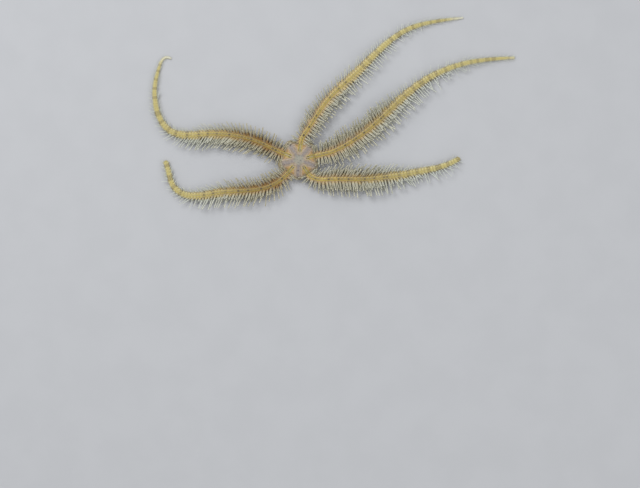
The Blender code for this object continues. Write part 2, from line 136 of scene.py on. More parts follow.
def tube_object(name, rings, poles, values, finish):
    """A closed surface from rings of points (rows, columns, 3) and the two points that close it."""
    rows, columns = rings.shape[:2]
    points = np.concatenate([rings.reshape(-1, 3), np.array(poles, float)])
    full = {}
    for label, numbers in values.items():
        numbers = np.broadcast_to(numbers, (rows, columns))
        full[label] = np.concatenate([numbers.ravel(), [numbers[0].mean(), numbers[-1].mean()]])
    return surface_object(name, points, *tube_faces(rows, columns), full, finish)


def round_object(name, turn, radius, height, middle_heights, values, finish):
    """A closed surface round the disc's middle, from rings with their radii and heights. They
    run outwards from the top, so each is turned round for the faces to look out."""
    x, y = radius * np.cos(turn), radius * np.sin(turn)
    points = np.stack([x + DISC_AT[0], y + DISC_AT[1], height], axis=-1)
    poles = [(*DISC_AT, middle_height) for middle_height in middle_heights]
    turned = {label: numbers[:, ::-1] for label, numbers in values.items()}
    return tube_object(name, points[:, ::-1], poles, turned, finish)


def srgb(red, green, blue):
    """A colour as it shows on screen, 0 to 255, as the linear numbers that a shader reads."""
    shown = np.array([red, green, blue]) / 255
    linear = np.where(shown <= 0.04045, shown / 12.92, ((shown + 0.055) / 1.055) ** 2.4)
    return (*linear.tolist(), 1.0)


class Value:
    """What a shader works out at each point of a surface: a number, a colour or a place. A sum
    written with such numbers adds a node that does it."""

    def __init__(self, socket):
        self.socket = socket
        self.tree = socket.id_data

    def __add__(self, other):
        return calculate("ADD", self, other)

    def __sub__(self, other):
        return calculate("SUBTRACT", self, other)

    def __rsub__(self, other):
        return calculate("SUBTRACT", other, self)

    def __mul__(self, other):
        return calculate("MULTIPLY", self, other)

    def __truediv__(self, other):
        return calculate("DIVIDE", self, other)

    def __rtruediv__(self, other):
        return calculate("DIVIDE", other, self)

    def __abs__(self):
        return calculate("ABSOLUTE", self)


def add_node(tree, kind, inputs, output=0, **settings):
    """Adds a shader node with its settings, sets or links its inputs, and gives one output."""
    made = tree.nodes.new("ShaderNode" + kind)
    for name, value in settings.items():
        setattr(made, name, value)
    for socket, value in inputs.items():
        if isinstance(value, Value):
            tree.links.new(value.socket, made.inputs[socket])
        else:
            made.inputs[socket].default_value = value
    return Value(made.outputs[output])


def calculate(operation, first, second=0.0):
    """The result of one sum on two numbers."""
    tree = (first if isinstance(first, Value) else second).tree
    return add_node(tree, "Math", {0: first, 1: second}, operation=operation)


def ramp(value, low, high):
    """A mask that goes smoothly from 0 at low to 1 at high, whichever of them is larger."""
    inputs = {"Value": value, "From Min": low, "From Max": high}
    return add_node(value.tree, "MapRange", inputs, interpolation_type="SMOOTHSTEP")


def stripe(value, middle, half_width, soft):
    """A mask that is 1 within half_width of the middle and falls to 0 over soft."""
    return ramp(abs(value - middle), half_width + soft, half_width)


def blend(share, below, above):
    """One colour over another by a mask. A plain colour is its red, green and blue on screen."""
    inputs = {0: share}
    for socket, colour in ((6, below), (7, above)):
        inputs[socket] = srgb(*colour) if isinstance(colour, tuple) else colour
    return add_node(share.tree, "Mix", inputs, 2, data_type="RGBA")


def painted(colour, *coats):
    """Coats of colour laid one over another, each by its own mask."""
    for mask, over in coats:
        colour = blend(mask, colour, over)
    return colour


def kept_values(tree, *names):
    """The numbers of these names that each point of the mesh holds."""
    return [add_node(tree, "Attribute", {}, "Fac", attribute_name=name) for name in names]


def new_group(name, inputs, outputs):
    """A node group with named number sockets, and the values that come in through them."""
    group = bpy.data.node_groups.new(name, "ShaderNodeTree")
    for label, value in inputs.items():
        made = group.interface.new_socket(label, in_out="INPUT", socket_type="NodeSocketFloat")
        made.default_value = value
    for label in outputs:
        group.interface.new_socket(label, in_out="OUTPUT", socket_type="NodeSocketFloat")
    coming = group.nodes.new("NodeGroupInput").outputs
    return group, *[Value(coming[label]) for label in inputs]


def put_out(group, **values):
    """The group, with these values linked to its outputs of the same names."""
    going = group.nodes.new("NodeGroupOutput").inputs
    for label, value in values.items():
        group.links.new(value.socket, going[label])
    return group


def placed(tree, group, **inputs):
    """A node group placed with its own values. Gives what it puts out, by name."""
    node = add_node(tree, "Group", inputs, node_tree=group).socket.node
    return {socket.name: Value(socket) for socket in node.outputs}


def new_finish(name, **values):
    """A material with a Principled shader that has these values on its own sockets."""
    finish = bpy.data.materials.new(name)
    finish.use_nodes = True
    shader = finish.node_tree.nodes["Principled BSDF"]
    for socket, value in values.items():
        shader.inputs[socket.replace("_", " ")].default_value = value
    return finish, finish.node_tree


def coloured(finish, colour, grain=None, depth=0.0):
    """The finish with its colour, and with a grain as bumps of a depth in millimetres."""
    tree = finish.node_tree
    sockets = tree.nodes["Principled BSDF"].inputs
    tree.links.new(colour.socket, sockets["Base Color"])
    if grain:
        bump = add_node(tree, "Bump", {"Height": grain, "Distance": depth * MM})
        tree.links.new(bump.socket, sockets["Normal"])
    return finish


def skin_mottle_group():
    """Uneven skin: a cloudy mottle of about a millimetre, and a fine grain for bumps."""
    group, size = new_group("skin_mottle", {"Size": 1.0}, ("Mottle", "Grain"))
    place = add_node(group, "TexCoord", {}, "Object")
    in_mm = add_node(group, "VectorMath", {0: place, "Scale": 1 / MM}, operation="SCALE")
    broad = {"Vector": in_mm, "Scale": 0.9 / size, "Detail": 4.0}
    fine = {"Vector": in_mm, "Scale": 7.0 / size, "Detail": 2.0}
    mottle = ramp(add_node(group, "TexNoise", broad), 0.34, 0.66)
    return put_out(group, Mottle=mottle, Grain=add_node(group, "TexNoise", fine))


def arm_lines_group():
    """The lines along an arm's back, which run on to the disc: from the middle outwards a pale
    line and a black line, both broken at the joints by a yellow bridge, and a yellow line.
    Across is in millimetres, and Segments counts the arm's segments."""
    group, across, segments, spread = new_group(
        "arm_lines", {"Across": 1.0, "Segments": 0.0, "Spread": 1.0},
        ("Pale", "Black", "Yellow", "Bridge"),
    )
    away = abs(across / spread)
    unbroken = ramp(abs(calculate("FRACT", segments) - 0.5), 0.46, 0.34)
    stretch = add_node(group, "CombineXYZ", {0: segments, 1: across})
    uneven = add_node(group, "TexNoise", {"Vector": stretch, "Scale": 0.5, "Detail": 3.0})
    strong = unbroken * ramp(uneven, 0.36, 0.56)
    return put_out(
        group,
        Pale=stripe(away, 0.0, 0.06, 0.1) * strong,
        Black=stripe(away, 0.2, 0.03, 0.07) * strong,
        Yellow=stripe(away, 0.37, 0.05, 0.12),
        Bridge=calculate("MAXIMUM", stripe(away, 0.0, 0.16, 0.14) - unbroken, 0.0),
    )


skin_mottle = skin_mottle_group()
arm_lines = arm_lines_group()


def disc_turns(columns):
    """Angles round the disc, with the nearest arm's angle, the nearest lobe's angle and the reach.

    A flat notch lies at each arm. Between two notches the outline swells as the root of a half
    wave, and a moving average of a few degrees rounds the corners.
    """
    turn = np.linspace(0.0, 2 * np.pi, columns, endpoint=False)
    names = sorted(ARM_ANGLES, key=ARM_ANGLES.get)
    here = np.radians([ARM_ANGLES[name] for name in names])
    following = np.append(here[1:], here[0] + 2 * np.pi)
    index = (np.searchsorted(here, turn, side="right") - 1) % len(here)
    past = (turn - here[index]) % (2 * np.pi)
    gap = (following - here)[index]
    corner = math.atan2(NOTCH_HALF_WIDTH, NOTCH_RADIUS)
    corner_radius = math.hypot(NOTCH_HALF_WIDTH, NOTCH_RADIUS)
    share = np.clip((past - corner) / (gap - 2 * corner), 0.0, 1.0)
    lobe = np.array([LOBE_RADII[name] for name in names])[index]
    reach = corner_radius + (lobe - corner_radius) * np.sin(np.pi * share) ** 0.5
    nearest = np.minimum(past, gap - past)
    reach = np.where(nearest < corner, NOTCH_RADIUS / np.cos(nearest), reach)
    window = columns // 90
    reach = sum(np.roll(reach, k) for k in range(-window, window + 1)) / (2 * window + 1)
    aside = np.where(past < gap / 2, past, past - gap)
    return turn, aside, past - gap / 2, reach


def shield_distance(outwards, sideways):
    """How far a place is outside the shield plate beside an arm, or how deep inside, below 0."""
    ahead = np.roll(SHIELD_CORNERS, -1, axis=0) - SHIELD_CORNERS
    normals = np.stack([ahead[:, 1], -ahead[:, 0]], axis=1)
    normals /= np.linalg.norm(normals, axis=1)[:, None]
    return np.max([
        (outwards - corner[0]) * normal[0] + (sideways - corner[1]) * normal[1]
        for corner, normal in zip(SHIELD_CORNERS, normals)
    ], axis=0)


def scales(x, y, size, seed):
    """How far a place is from the seams between scales, which is how much nearer it is to the
    middle of its own scale than to the next one's, and a number from 0 to 1 for that scale. The
    middles lie on a shaken honeycomb."""
    draw = np.random.default_rng(seed)
    reach = max(LOBE_RADII.values()) + size
    rows = np.arange(-reach, reach, size * 0.87)
    columns = np.arange(-reach, reach, size)
    middles = np.stack(np.meshgrid(columns, rows), axis=-1)
    middles[1::2, :, 0] += size / 2
    middles = (middles + draw.uniform(-0.34, 0.34, middles.shape) * size).reshape(-1, 2)
    middles = middles[np.hypot(*middles.T) < reach].astype(np.float32)
    tones = draw.uniform(0.0, 1.0, len(middles))
    edges, shades = [], []
    for row_x, row_y in zip(x.astype(np.float32), y.astype(np.float32)):
        away = np.hypot(row_x[:, None] - middles[:, 0], row_y[:, None] - middles[:, 1])
        nearest = np.argpartition(away, 1, axis=1)[:, :2]
        two = np.sort(np.take_along_axis(away, nearest, axis=1), axis=1)
        edges.append(two[:, 1] - two[:, 0])
        shades.append(tones[np.argmin(away, axis=1)])
    return np.array(edges), np.array(shades)


def spot_mask(spots, right, up, outer, inner):
    """The strongest of many round spots, each of which rises from outer to inner times its size."""
    return np.max([
        smoothstep(outer * size, inner * size, np.hypot(right - x, up - y)) for x, y, size in spots
    ], axis=0)


def make_disc(finish):
    """The disc as one closed surface, from the middle of the back over the rim to the pocket."""
    turn, aside, between, reach = disc_turns(DISC_COLUMNS)
    share = np.linspace(0.0, 1.0, DISC_RINGS)[1:, None] ** 0.9
    back_r = share * reach
    back_z = RIM_HEIGHT + (DISC_TOP - RIM_HEIGHT) * (1 - RIM_DROP * share**DOME_POWER)
    outline = smooth_curve(UNDERSIDE, 44)[1:]
    under_r = POCKET_RADIUS + (reach - POCKET_RADIUS) * outline[:, :1]
    beside = smoothstep(0.95, 1.35, np.abs(under_r * np.sin(aside)))
    under_z = outline[:, 2:] + (outline[:, 1:2] - outline[:, 2:]) * beside
    inner = np.array([(0.99, 0.5), (0.97, 1.0), (0.8, 1.0), (0.4, 1.0), (0.1, 1.0)])
    inner_r = POCKET_RADIUS * inner[:, :1] * np.ones_like(reach)
    inner_z = under_z[-1] + (POCKET_DEPTH - under_z[-1]) * inner[:, 1:]
    radius = np.concatenate([back_r, under_r, inner_r])
    height = np.concatenate([back_z * np.ones_like(reach), under_z, inner_z])
    on_back = np.concatenate([np.ones(len(share)), np.zeros(len(outline) + len(inner))])[:, None]
    outwards = radius * np.cos(aside)
    across = radius * np.sin(aside)
    shield = shield_distance(outwards, np.abs(across))
    x, y = radius * np.cos(turn), radius * np.sin(turn)
    edges, shades = scales(x, y, SCALE_SIZE, seed=3)
    bare = smoothstep(-0.05, 0.12, shield)
    plate = SHIELD_HEIGHT * smoothstep(0.1, -0.12, shield)
    crown = SHIELD_CROWN * smoothstep(0.0, -0.5, shield)
    grooves = SCALE_RELIEF * (smoothstep(0.0, 0.17, edges) - 1 + 0.5 * shades) * bare
    channel = CHANNEL_DEPTH * smoothstep(0.4, 0.1, np.abs(across)) * smoothstep(2.6, 3.4, outwards)
    height = height + on_back * (plate + crown + grooves - channel)
    spots = spot_mask(BACK_SPOTS, x, y, 1.3, 0.6)
    lobe_out, lobe_left = radius * np.cos(between), radius * np.sin(between)
    under_spots = spot_mask(POUCH_SPOTS, lobe_out, lobe_left, 1.0, 0.5)
    patch_at, patch_length, patch_width = POUCH_PATCH
    patch_out = lobe_out - patch_at
    narrowed = patch_width * (0.75 + 0.25 * smoothstep(-patch_length, patch_length, patch_out))
    patch = np.hypot(patch_out / patch_length, lobe_left / narrowed)
    values = {
        "across": np.abs(across), "outwards": outwards, "shield": shield, "seam": edges,
        "shade": shades, "between": lobe_left, "far": radius, "back": on_back, "patch": patch,
        "spots": np.where(on_back > 0.5, spots, under_spots),
    }
    middle_heights = (DISC_TOP, POCKET_DEPTH)
    return round_object("disc_skin", turn, radius, height, middle_heights, values, finish)


def disc_finish():
    """Tan scaly skin with lilac-grey bands, orange-tan shield plates and the arms' double lines,
    and below cream round the mouth and translucent brown on the pouches."""
    finish, tree = new_finish(
        "disc_finish", Roughness=0.42, Coat_Weight=0.12, Coat_Roughness=0.3,
        Subsurface_Weight=0.12, Subsurface_Scale=0.0004, Subsurface_Radius=(1.0, 0.85, 0.7),
    )
    across, outwards, far, between, back = kept_values(
        tree, "across", "outwards", "far", "between", "back"
    )
    shield, shade, seam, spots, patch = kept_values(tree, "shield", "shade", "seam", "spots", "patch")
    broad = placed(tree, skin_mottle, Size=0.8)["Mottle"]
    small = placed(tree, skin_mottle, Size=0.3)
    ragged = abs(between) - (far * 0.05 + 0.36) + (small["Mottle"] - 0.5) * 0.5
    band = ramp(ragged, 0.45, -0.25) * ramp(far, 7.4, 5.6)
    lighter = (shade - 0.5) * 0.7
    # The scales between the arms, with a grey band out along each lobe and a grey middle.
    skin = painted(
        blend(broad, (146, 126, 100), (152, 131, 98)),
        (ramp(far, 5.6, 7.4), (142, 132, 100)),
        (band * 0.85, blend(small["Mottle"], (118, 110, 112), (142, 134, 132))),
        (ramp(far, 2.6, 1.0), (146, 145, 132)),
        (stripe(shield, 0.4, 0.08, 0.22) * 0.5, (178, 160, 146)),
        (calculate("MAXIMUM", lighter, 0.0), (174, 160, 138)),
        (calculate("MAXIMUM", lighter * -1.0, 0.0), (96, 92, 92)),
    )
    # The shield plates, the seams between scales, and the pale edge over each arm.
    skin = painted(
        skin,
        (ramp(shield, 0.26, -0.04), blend(broad, (162, 130, 84), (172, 142, 100))),
        (ramp(seam, 0.08, 0.0) * ramp(shield, 0.0, 0.1) * 0.35, (96, 90, 86)),
        (ramp(outwards, 5.35, 5.7) * stripe(across, 0.0, 1.3, 0.5) * 0.4, (160, 156, 130)),
    )
    # The arms' lines, which fade in from the middle and are wider apart there, and the spots.
    lines = placed(
        tree, arm_lines, Across=across, Segments=outwards * 0.8 + 0.55,
        Spread=1.75 - ramp(outwards, 3.2, 6.2) * 0.5,
    )
    reach = ramp(outwards, 2.5, 3.1)
    yellowing = ramp(outwards, 1.6, 5.4) * reach
    skin = painted(
        skin,
        (stripe(across, 0.0, 0.6, 0.5) * reach * 0.3, (176, 166, 90)),
        (lines["Yellow"] * yellowing * 0.6, (164, 154, 60)),
        (lines["Pale"] * reach * reach * 0.4, (150, 144, 124)),
        (lines["Black"] * reach * reach * 0.9, (50, 42, 34)),
        (lines["Bridge"] * yellowing * 0.8, (166, 156, 52)),
        (ramp(small["Grain"], 0.62, 0.72) * 0.5, (104, 102, 92)),
        (spots * 0.85, (70, 56, 60)),
    )
    # The underside: cream, with pouches that have a dark patch in a pale ring.
    cream = painted(
        blend(broad, (226, 208, 150), (214, 200, 150)),
        (ramp(far, 3.9, 5.0), blend(small["Mottle"], (166, 148, 120), (186, 170, 138))),
        (stripe(patch, 1.2, 0.12, 0.2) * 0.6, (214, 198, 156)),
        (ramp(patch, 1.1, 0.75), (130, 108, 106)),
        (ramp(small["Grain"], 0.62, 0.7) * 0.6, (104, 100, 64)),
        (spots, (66, 66, 42)),
    )
    return coloured(finish, blend(back, cream, skin), small["Grain"], 0.04)


disc = make_disc(disc_finish())
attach(disc, "root")
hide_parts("disc")


# The mouth frame. In the middle of the underside five hard jaws point in between the arms and
# leave a small round mouth with a closed slit towards each arm. Blunt teeth stand one above
# another on each jaw.
FRAME_TOP = 1.1
FRAME_BOTTOM = 0.14
MOUTH_RADIUS = 0.74
SLIT_REACH = 2.1
SLIT_HALF_WIDTH = 0.04
SLIT_DEPTH = 0.2
SEAM_DEPTH = 0.03
JAW_RISE = 0.12
THROAT_TOP = 0.96
MOUTH_COLUMNS = 240
FLAT_RINGS = 46
# The frame's profile from the top over the edge to the mouth, and up the throat.
FRAME_EDGE = ((3.1, 1.1), (3.1, 0.45), (3.02, 0.2), (2.7, 0.14))
THROAT = ((0.7, 0.3), (0.6, 0.6), (0.42, 0.85), (0.15, 0.95))
# The teeth: the height of each tier and its teeth's thickness, their turns from the middle of a
# jaw in degrees, their length and slope down, how far behind the mouth's rim they start, their
# number of sides, and the least height of a point on them.
TOOTH_TIERS = ((0.3, 0.13), (0.5, 0.12), (0.7, 0.1))
TOOTH_TURNS = (-15.0, 0.0, 15.0)
TOOTH_LENGTH = 0.42
TOOTH_SLOPE = -0.25
TOOTH_BEHIND_RIM = 0.08
TOOTH_SIDES = 8
LOWEST_TOOTH = 0.03
# A tooth: how far along, and how wide and deep there, as shares of its thickness.
PEG_PROFILE = ((0.0, 1.0, 1.0), (0.4, 1.0, 0.9), (0.75, 0.85, 0.7), (0.95, 0.5, 0.4))


def mouth_seams(radius, between):
    """1 in the seams round the mouth shields, which are rounded diamonds near the frame's edge,
    and in the seam along the middle of each jaw."""
    diamond = np.abs(between) / 0.85 + np.abs(radius - 2.55) / 0.55
    seam = smoothstep(0.12, 0.0, np.abs(diamond - 1))
    jaw = smoothstep(0.07, 0.0, np.abs(between)) * smoothstep(2.0, 1.9, radius)
    return np.maximum(seam, jaw)


def make_mouth(finish):
    """The mouth frame as one closed surface: a flat ring with slits cut in, which rises a little
    to the mouth, and the throat."""
    turn, aside, between, _ = disc_turns(MOUTH_COLUMNS)
    edge = smooth_curve(FRAME_EDGE, 14)
    flat = np.linspace(2.68, MOUTH_RADIUS + 0.04, FLAT_RINGS)
    throat = smooth_curve(((MOUTH_RADIUS, FRAME_BOTTOM + 0.1), *THROAT), 12)
    top = np.array([(0.3, FRAME_TOP), (1.6, FRAME_TOP), (2.9, FRAME_TOP)])
    radius = np.concatenate([top[:, 0], edge[:, 0], flat, throat[:, 0]])[:, None]
    flat_height = np.full(FLAT_RINGS, FRAME_BOTTOM)
    height = np.concatenate([top[:, 1], edge[:, 1], flat_height, throat[:, 1]])[:, None]
    is_flat = np.zeros(len(radius))
    is_flat[len(top) + len(edge) : -len(throat)] = 1.0
    is_flat = is_flat[:, None]
    within = smoothstep(SLIT_REACH, SLIT_REACH - 0.5, radius) * is_flat
    across = np.abs(radius * np.sin(aside))
    slit = within * smoothstep(SLIT_HALF_WIDTH * 2.5, SLIT_HALF_WIDTH, across)
    seams = mouth_seams(radius, radius * np.sin(between)) * is_flat
    height = height + SLIT_DEPTH * slit + SEAM_DEPTH * seams
    height = height + JAW_RISE * is_flat * smoothstep(1.4, 0.75, radius)
    # The height is kept as depth, by which the finish paints shade into the slits and the throat.
    values = {"far": radius, "slit": slit, "seam": seams, "depth": height}
    middle_heights = (FRAME_TOP, THROAT_TOP)
    return round_object("mouth_skin", turn, radius, height, middle_heights, values, finish)


def rods(starts, along, lengths, share, wide, deep, bends, around):
    """Many blunt rods at once. Each carries flattened rings, with half their width and depth
    given for each rod and each share of the way, along a slightly bent line, which leaves the
    straight by its two bends, level and upwards, times the square of that share. Gives the
    points, the faces, and for each point its rod's number, its share and its angle."""
    level = np.cross(along, (0.0, 0.0, 1.0))
    level /= np.linalg.norm(level, axis=1)[:, None]
    up = np.cross(level, along)
    turn = np.linspace(0.0, 2 * np.pi, around, endpoint=False)
    bent = level * bends[:, :1] + up * bends[:, 1:]
    line = (
        starts[:, None]
        + along[:, None] * (lengths[:, None] * share)[..., None]
        + bent[:, None] * (share**2)[:, None]
    )
    sideways = wide[:, :, None] * np.cos(turn)
    upwards = deep[:, :, None] * np.sin(turn)
    rings = (
        line[:, :, None]
        + level[:, None, None] * sideways[..., None]
        + up[:, None, None] * upwards[..., None]
    )
    tips = starts + along * lengths[:, None] + bent
    count, size = len(starts), len(share) * around
    points = np.concatenate([rings.reshape(count, size, 3), starts[:, None], tips[:, None]], axis=1)
    quads, fans = tube_faces(len(share), around)
    offset = (np.arange(count) * (size + 2))[:, None, None]
    number = np.repeat(np.arange(count), size + 2)
    shares = np.tile(np.append(np.repeat(share, around), [0.0, 1.0]), count)
    turns = np.tile(np.append(np.tile(turn, len(share)), [0.0, 0.0]), count)
    faces = (quads + offset).reshape(-1, 4), (fans + offset).reshape(-1, 3)
    return points.reshape(-1, 3), faces, (number, shares, turns)


def make_teeth(finish):
    """Teeth round the mouth in three tiers, as small pegs that point inwards. The turn and the
    length of each are shaken a little."""
    angles = np.sort(list(ARM_ANGLES.values()))
    jaws = (angles + np.append(angles[1:], angles[0] + 360.0)) / 2
    shape = (len(jaws), len(TOOTH_TIERS), len(TOOTH_TURNS))
    shaken = np.random.default_rng(5).uniform((-3.0, 0.8), (3.0, 1.1), (*shape, 2))
    turn = np.radians(jaws[:, None, None] + TOOTH_TURNS + shaken[..., 0]).ravel()
    height, thick = [
        np.broadcast_to(column[:, None], shape).ravel() for column in np.array(TOOTH_TIERS).T
    ]
    out = np.stack([np.cos(turn), np.sin(turn)], axis=-1)
    starts = np.column_stack([out * (MOUTH_RADIUS + TOOTH_BEHIND_RIM) + DISC_AT, height])
    along = np.column_stack([-out, np.full(len(out), TOOTH_SLOPE)])
    along /= np.linalg.norm(along, axis=1)[:, None]
    lengths = TOOTH_LENGTH * shaken[..., 1].ravel()
    share, wide, deep = np.array(PEG_PROFILE).T
    thick = thick[:, None]
    straight = np.zeros((len(out), 2))
    points, faces, _ = rods(
        starts, along, lengths, share, thick * wide, thick * deep, straight, TOOTH_SIDES
    )
    points[:, 2] = np.maximum(points[:, 2], LOWEST_TOOTH)
    same = np.ones(len(points))
    # At a depth of 0.3 the teeth take none of the painted shade.
    values = {"far": same, "slit": same * 0.0, "seam": same * 0.0, "depth": same * 0.3}
    return surface_object("mouth_teeth", points, *faces, values, finish)


def mouth_finish():
    """Cream limy plates, orange-brown round the mouth, with dark slits, and a throat darkened by
    painted shade.
    """
    finish, tree = new_finish(
        "mouth_finish", Roughness=0.4, Coat_Weight=0.15, Coat_Roughness=0.25,
        Subsurface_Weight=0.15, Subsurface_Scale=0.0005,
    )
    far, seam, slit, depth = kept_values(tree, "far", "seam", "slit", "depth")
    mottle = placed(tree, skin_mottle, Size=0.5)
    glow = far + mottle["Mottle"] * 0.7
    skin = painted(
        (226, 208, 150),
        (ramp(glow, 3.3, 1.5), (208, 156, 88)),
        (ramp(glow, 1.9, 1.0), (150, 92, 42)),
        (seam * 0.2, (130, 100, 60)),
        (slit * 0.75, (112, 66, 30)),
        # Painted shade: the higher the surface reaches into the slits and up the throat, the nearer
        # it is to black.
        (ramp(depth, 0.35, 0.62), (34, 18, 10)),
        (ramp(mottle["Grain"], 0.68, 0.74) * 0.5, (70, 74, 48)),
    )
    return coloured(finish, skin, mottle["Grain"], 0.03)


mouth_material = mouth_finish()
mouth = make_mouth(mouth_material)
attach(mouth, "root")
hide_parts("mouth_frame")
teeth = make_teeth(mouth_material)
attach(teeth, "root")


# The arms. Each is a chain of some seventy segments, with a plate above that overlaps the next,
# a plate on each side that carries the spines, and a flat plate below. It follows one smooth
# curve and passes in under the disc to the mouth. Two arms end where their tips broke off.
ARM_START_RADIUS = 6.2
ARM_ROOT_RADIUS = 2.9
ROOT_LIFT = 0.2
ARM_WIDTH = 2.7
ARM_HEIGHT_SHARE = 0.78
TAPER_POWER = 2.2
ROOT_HEIGHT_SHARE = 0.7
END_ROUNDING = 0.5
SEGMENT_LENGTH = 1.25
RINGS_IN_SEGMENT = 10
POINTS_AROUND = 44
BACK_PLATE_RELIEF = 0.1
SIDE_PLATE_RELIEF = 0.22
BELLY_PLATE_RELIEF = 0.07
SLOT_DEPTH = 0.2
TIP_RELIEF_SHARE = 0.4
AXIS_HEIGHT_SHARE = 0.4
COUNTS_APART = 97
# Each arm: the points that its curve passes through, in millimetres from the disc's middle, its
# width at the end, where it starts to taper, its spines to the left and the right of its heading,
# how thickly skin sheathes them on either side, its last segment's length, its number of solids,
# how strongly, how far out and over what length it is flushed with orange-brown, over what length
# its spines dwindle to nothing at its end, and the length that has broken off. Three rows tell of
# the spines of a side, each with a number for every tenth millimetre from the disc: how far the
# longest reach from the arm's middle line, how far the close rows reach, and the degrees by which
# they lean towards the arm's end.
ARMS = {
    "arm_1": {
        "points": ((2.9, 10.8), (10.6, 22.1), (20.4, 31.5), (30.1, 41.0), (41.1, 48.7),
                   (47.6, 50.7), (61.0, 52.7)),
        "end_width": 0.6, "taper_from": 28.0,
        "left": (
            (3.9, 4.7, 4.2, 4.3, 3.9, 2.9, 2.5, 1.6, 0.8),
            (3.2, 3.2, 2.3, 2.0, 1.7, 1.5, 1.4, 1.3, 0.7),
            (22, 28, 28, 32, 30, 30, 35, 45),
        ),
        "right": (
            (4.0, 5.5, 6.1, 6.0, 5.0, 4.6, 2.9, 1.6, 0.8),
            (3.8, 3.9, 4.1, 3.1, 2.4, 2.3, 1.6, 1.0, 0.5),
            (-6, -5, 8, 7, 8, 14, 25, 45),
        ),
        "sheath": (1.0, 0.6),
        "last_segment": 0.7, "lengths": 5, "warm": (0.2, 10.0, 12.0), "bare_end": 5.0, "lost": 0.0,
    },
    "arm_2": {
        "points": ((11.4, 2.8), (17.9, 5.9), (29.5, 14.6), (39.8, 24.5), (51.9, 32.4),
                   (65.7, 36.6), (80.0, 37.9)),
        "end_width": 0.9, "taper_from": 36.0,
        "left": (
            (4.0, 6.2, 5.8, 6.0, 3.9, 3.5, 3.0, 2.2, 1.6),
            (3.8, 4.3, 4.2, 4.5, 2.3, 1.9, 2.0, 1.5, 1.1),
            (14, 10, 22, 16, 12, 20, 30, 40),
        ),
        "right": (
            (4.0, 6.1, 6.6, 6.8, 6.7, 6.0, 4.2, 2.8, 1.3),
            (3.6, 4.3, 4.6, 4.3, 3.7, 3.0, 2.4, 1.7, 0.8),
            (3, 7, 8, 9, 9, 8, 20, 35),
        ),
        "sheath": (1.0, 0.4),
        "last_segment": 0.7, "lengths": 5, "warm": (0.48, 20.0, 22.0), "bare_end": 1.5, "lost": 4.0,
    },
    "arm_3": {
        "points": ((5.9, -6.8), (11.7, -7.1), (21.5, -7.1), (36.1, -5.7), (45.7, -4.0),
                   (55.2, -1.5), (59.6, 0.7)),
        "end_width": 2.0, "taper_from": 26.0,
        "left": (
            (3.8, 5.8, 5.7, 5.1, 2.7, 2.3, 1.8),
            (3.0, 3.6, 4.1, 3.2, 1.7, 1.5),
            (20, 28, 40, 42, 36, 40),
        ),
        "right": (
            (3.8, 6.2, 7.2, 6.8, 5.2, 4.4, 3.4),
            (3.0, 4.6, 4.9, 3.9, 3.2, 2.3),
            (4, 12, 18, 15, 26, 30),
        ),
        "sheath": (1.0, 0.4),
        "last_segment": 1.0, "lengths": 4, "warm": (0.5, 22.0, 14.0), "bare_end": 2.5, "lost": 18.0,
    },
    "arm_4": {
        "points": ((-9.7, -9.2), (-19.2, -11.3), (-28.8, -11.9), (-38.3, -13.2),
                   (-43.1, -12.4), (-46.6, -9.3), (-48.1, -4.7), (-49.4, -0.1)),
        "end_width": 2.0, "taper_from": 24.0,
        "left": (
            (4.6, 5.9, 6.7, 6.6, 3.8, 2.9, 2.2),
            (3.0, 3.3, 3.6, 3.0, 2.1, 1.9),
            (8, 24, 25, 28, 34, 40),
        ),
        "right": (
            (4.6, 5.3, 4.9, 3.9, 2.7, 2.4, 2.2),
            (3.6, 3.5, 3.1, 2.4, 1.9, 1.6),
            (5, 15, 38, 48, 50),
        ),
        "sheath": (0.4, 1.0),
        "last_segment": 1.0, "lengths": 4, "warm": (1.15, 12.0, 13.0), "bare_end": 3.0, "lost": 18.0,
    },
    "arm_5": {
        "points": ((-15.8, 7.0), (-21.9, 8.7), (-34.7, 9.6), (-41.1, 9.2), (-47.4, 10.7),
                   (-51.4, 15.4), (-53.1, 21.6), (-53.2, 28.0), (-51.7, 34.4), (-50.5, 37.1),
                   (-49.3, 38.0), (-47.1, 37.5)),
        "end_width": 0.65, "taper_from": 28.0,
        "left": (
            (4.8, 6.3, 7.0, 7.4, 4.6, 2.9, 2.3, 1.4),
            (3.5, 3.7, 4.5, 4.6, 2.4, 1.7, 1.5, 0.8),
            (8, 26, 34, 34, 34, 38, 44),
        ),
        "right": (
            (4.4, 5.4, 4.8, 3.7, 2.7, 2.3, 2.3, 1.3),
            (3.2, 3.2, 3.1, 2.1, 1.7, 1.5, 1.4, 0.8),
            (-4, 14, 38, 46, 47, 48),
        ),
        "sheath": (0.7, 1.0),
        "last_segment": 0.7, "lengths": 6, "warm": (1.1, 11.0, 13.0), "bare_end": 6.0, "lost": 0.0,
    },
}


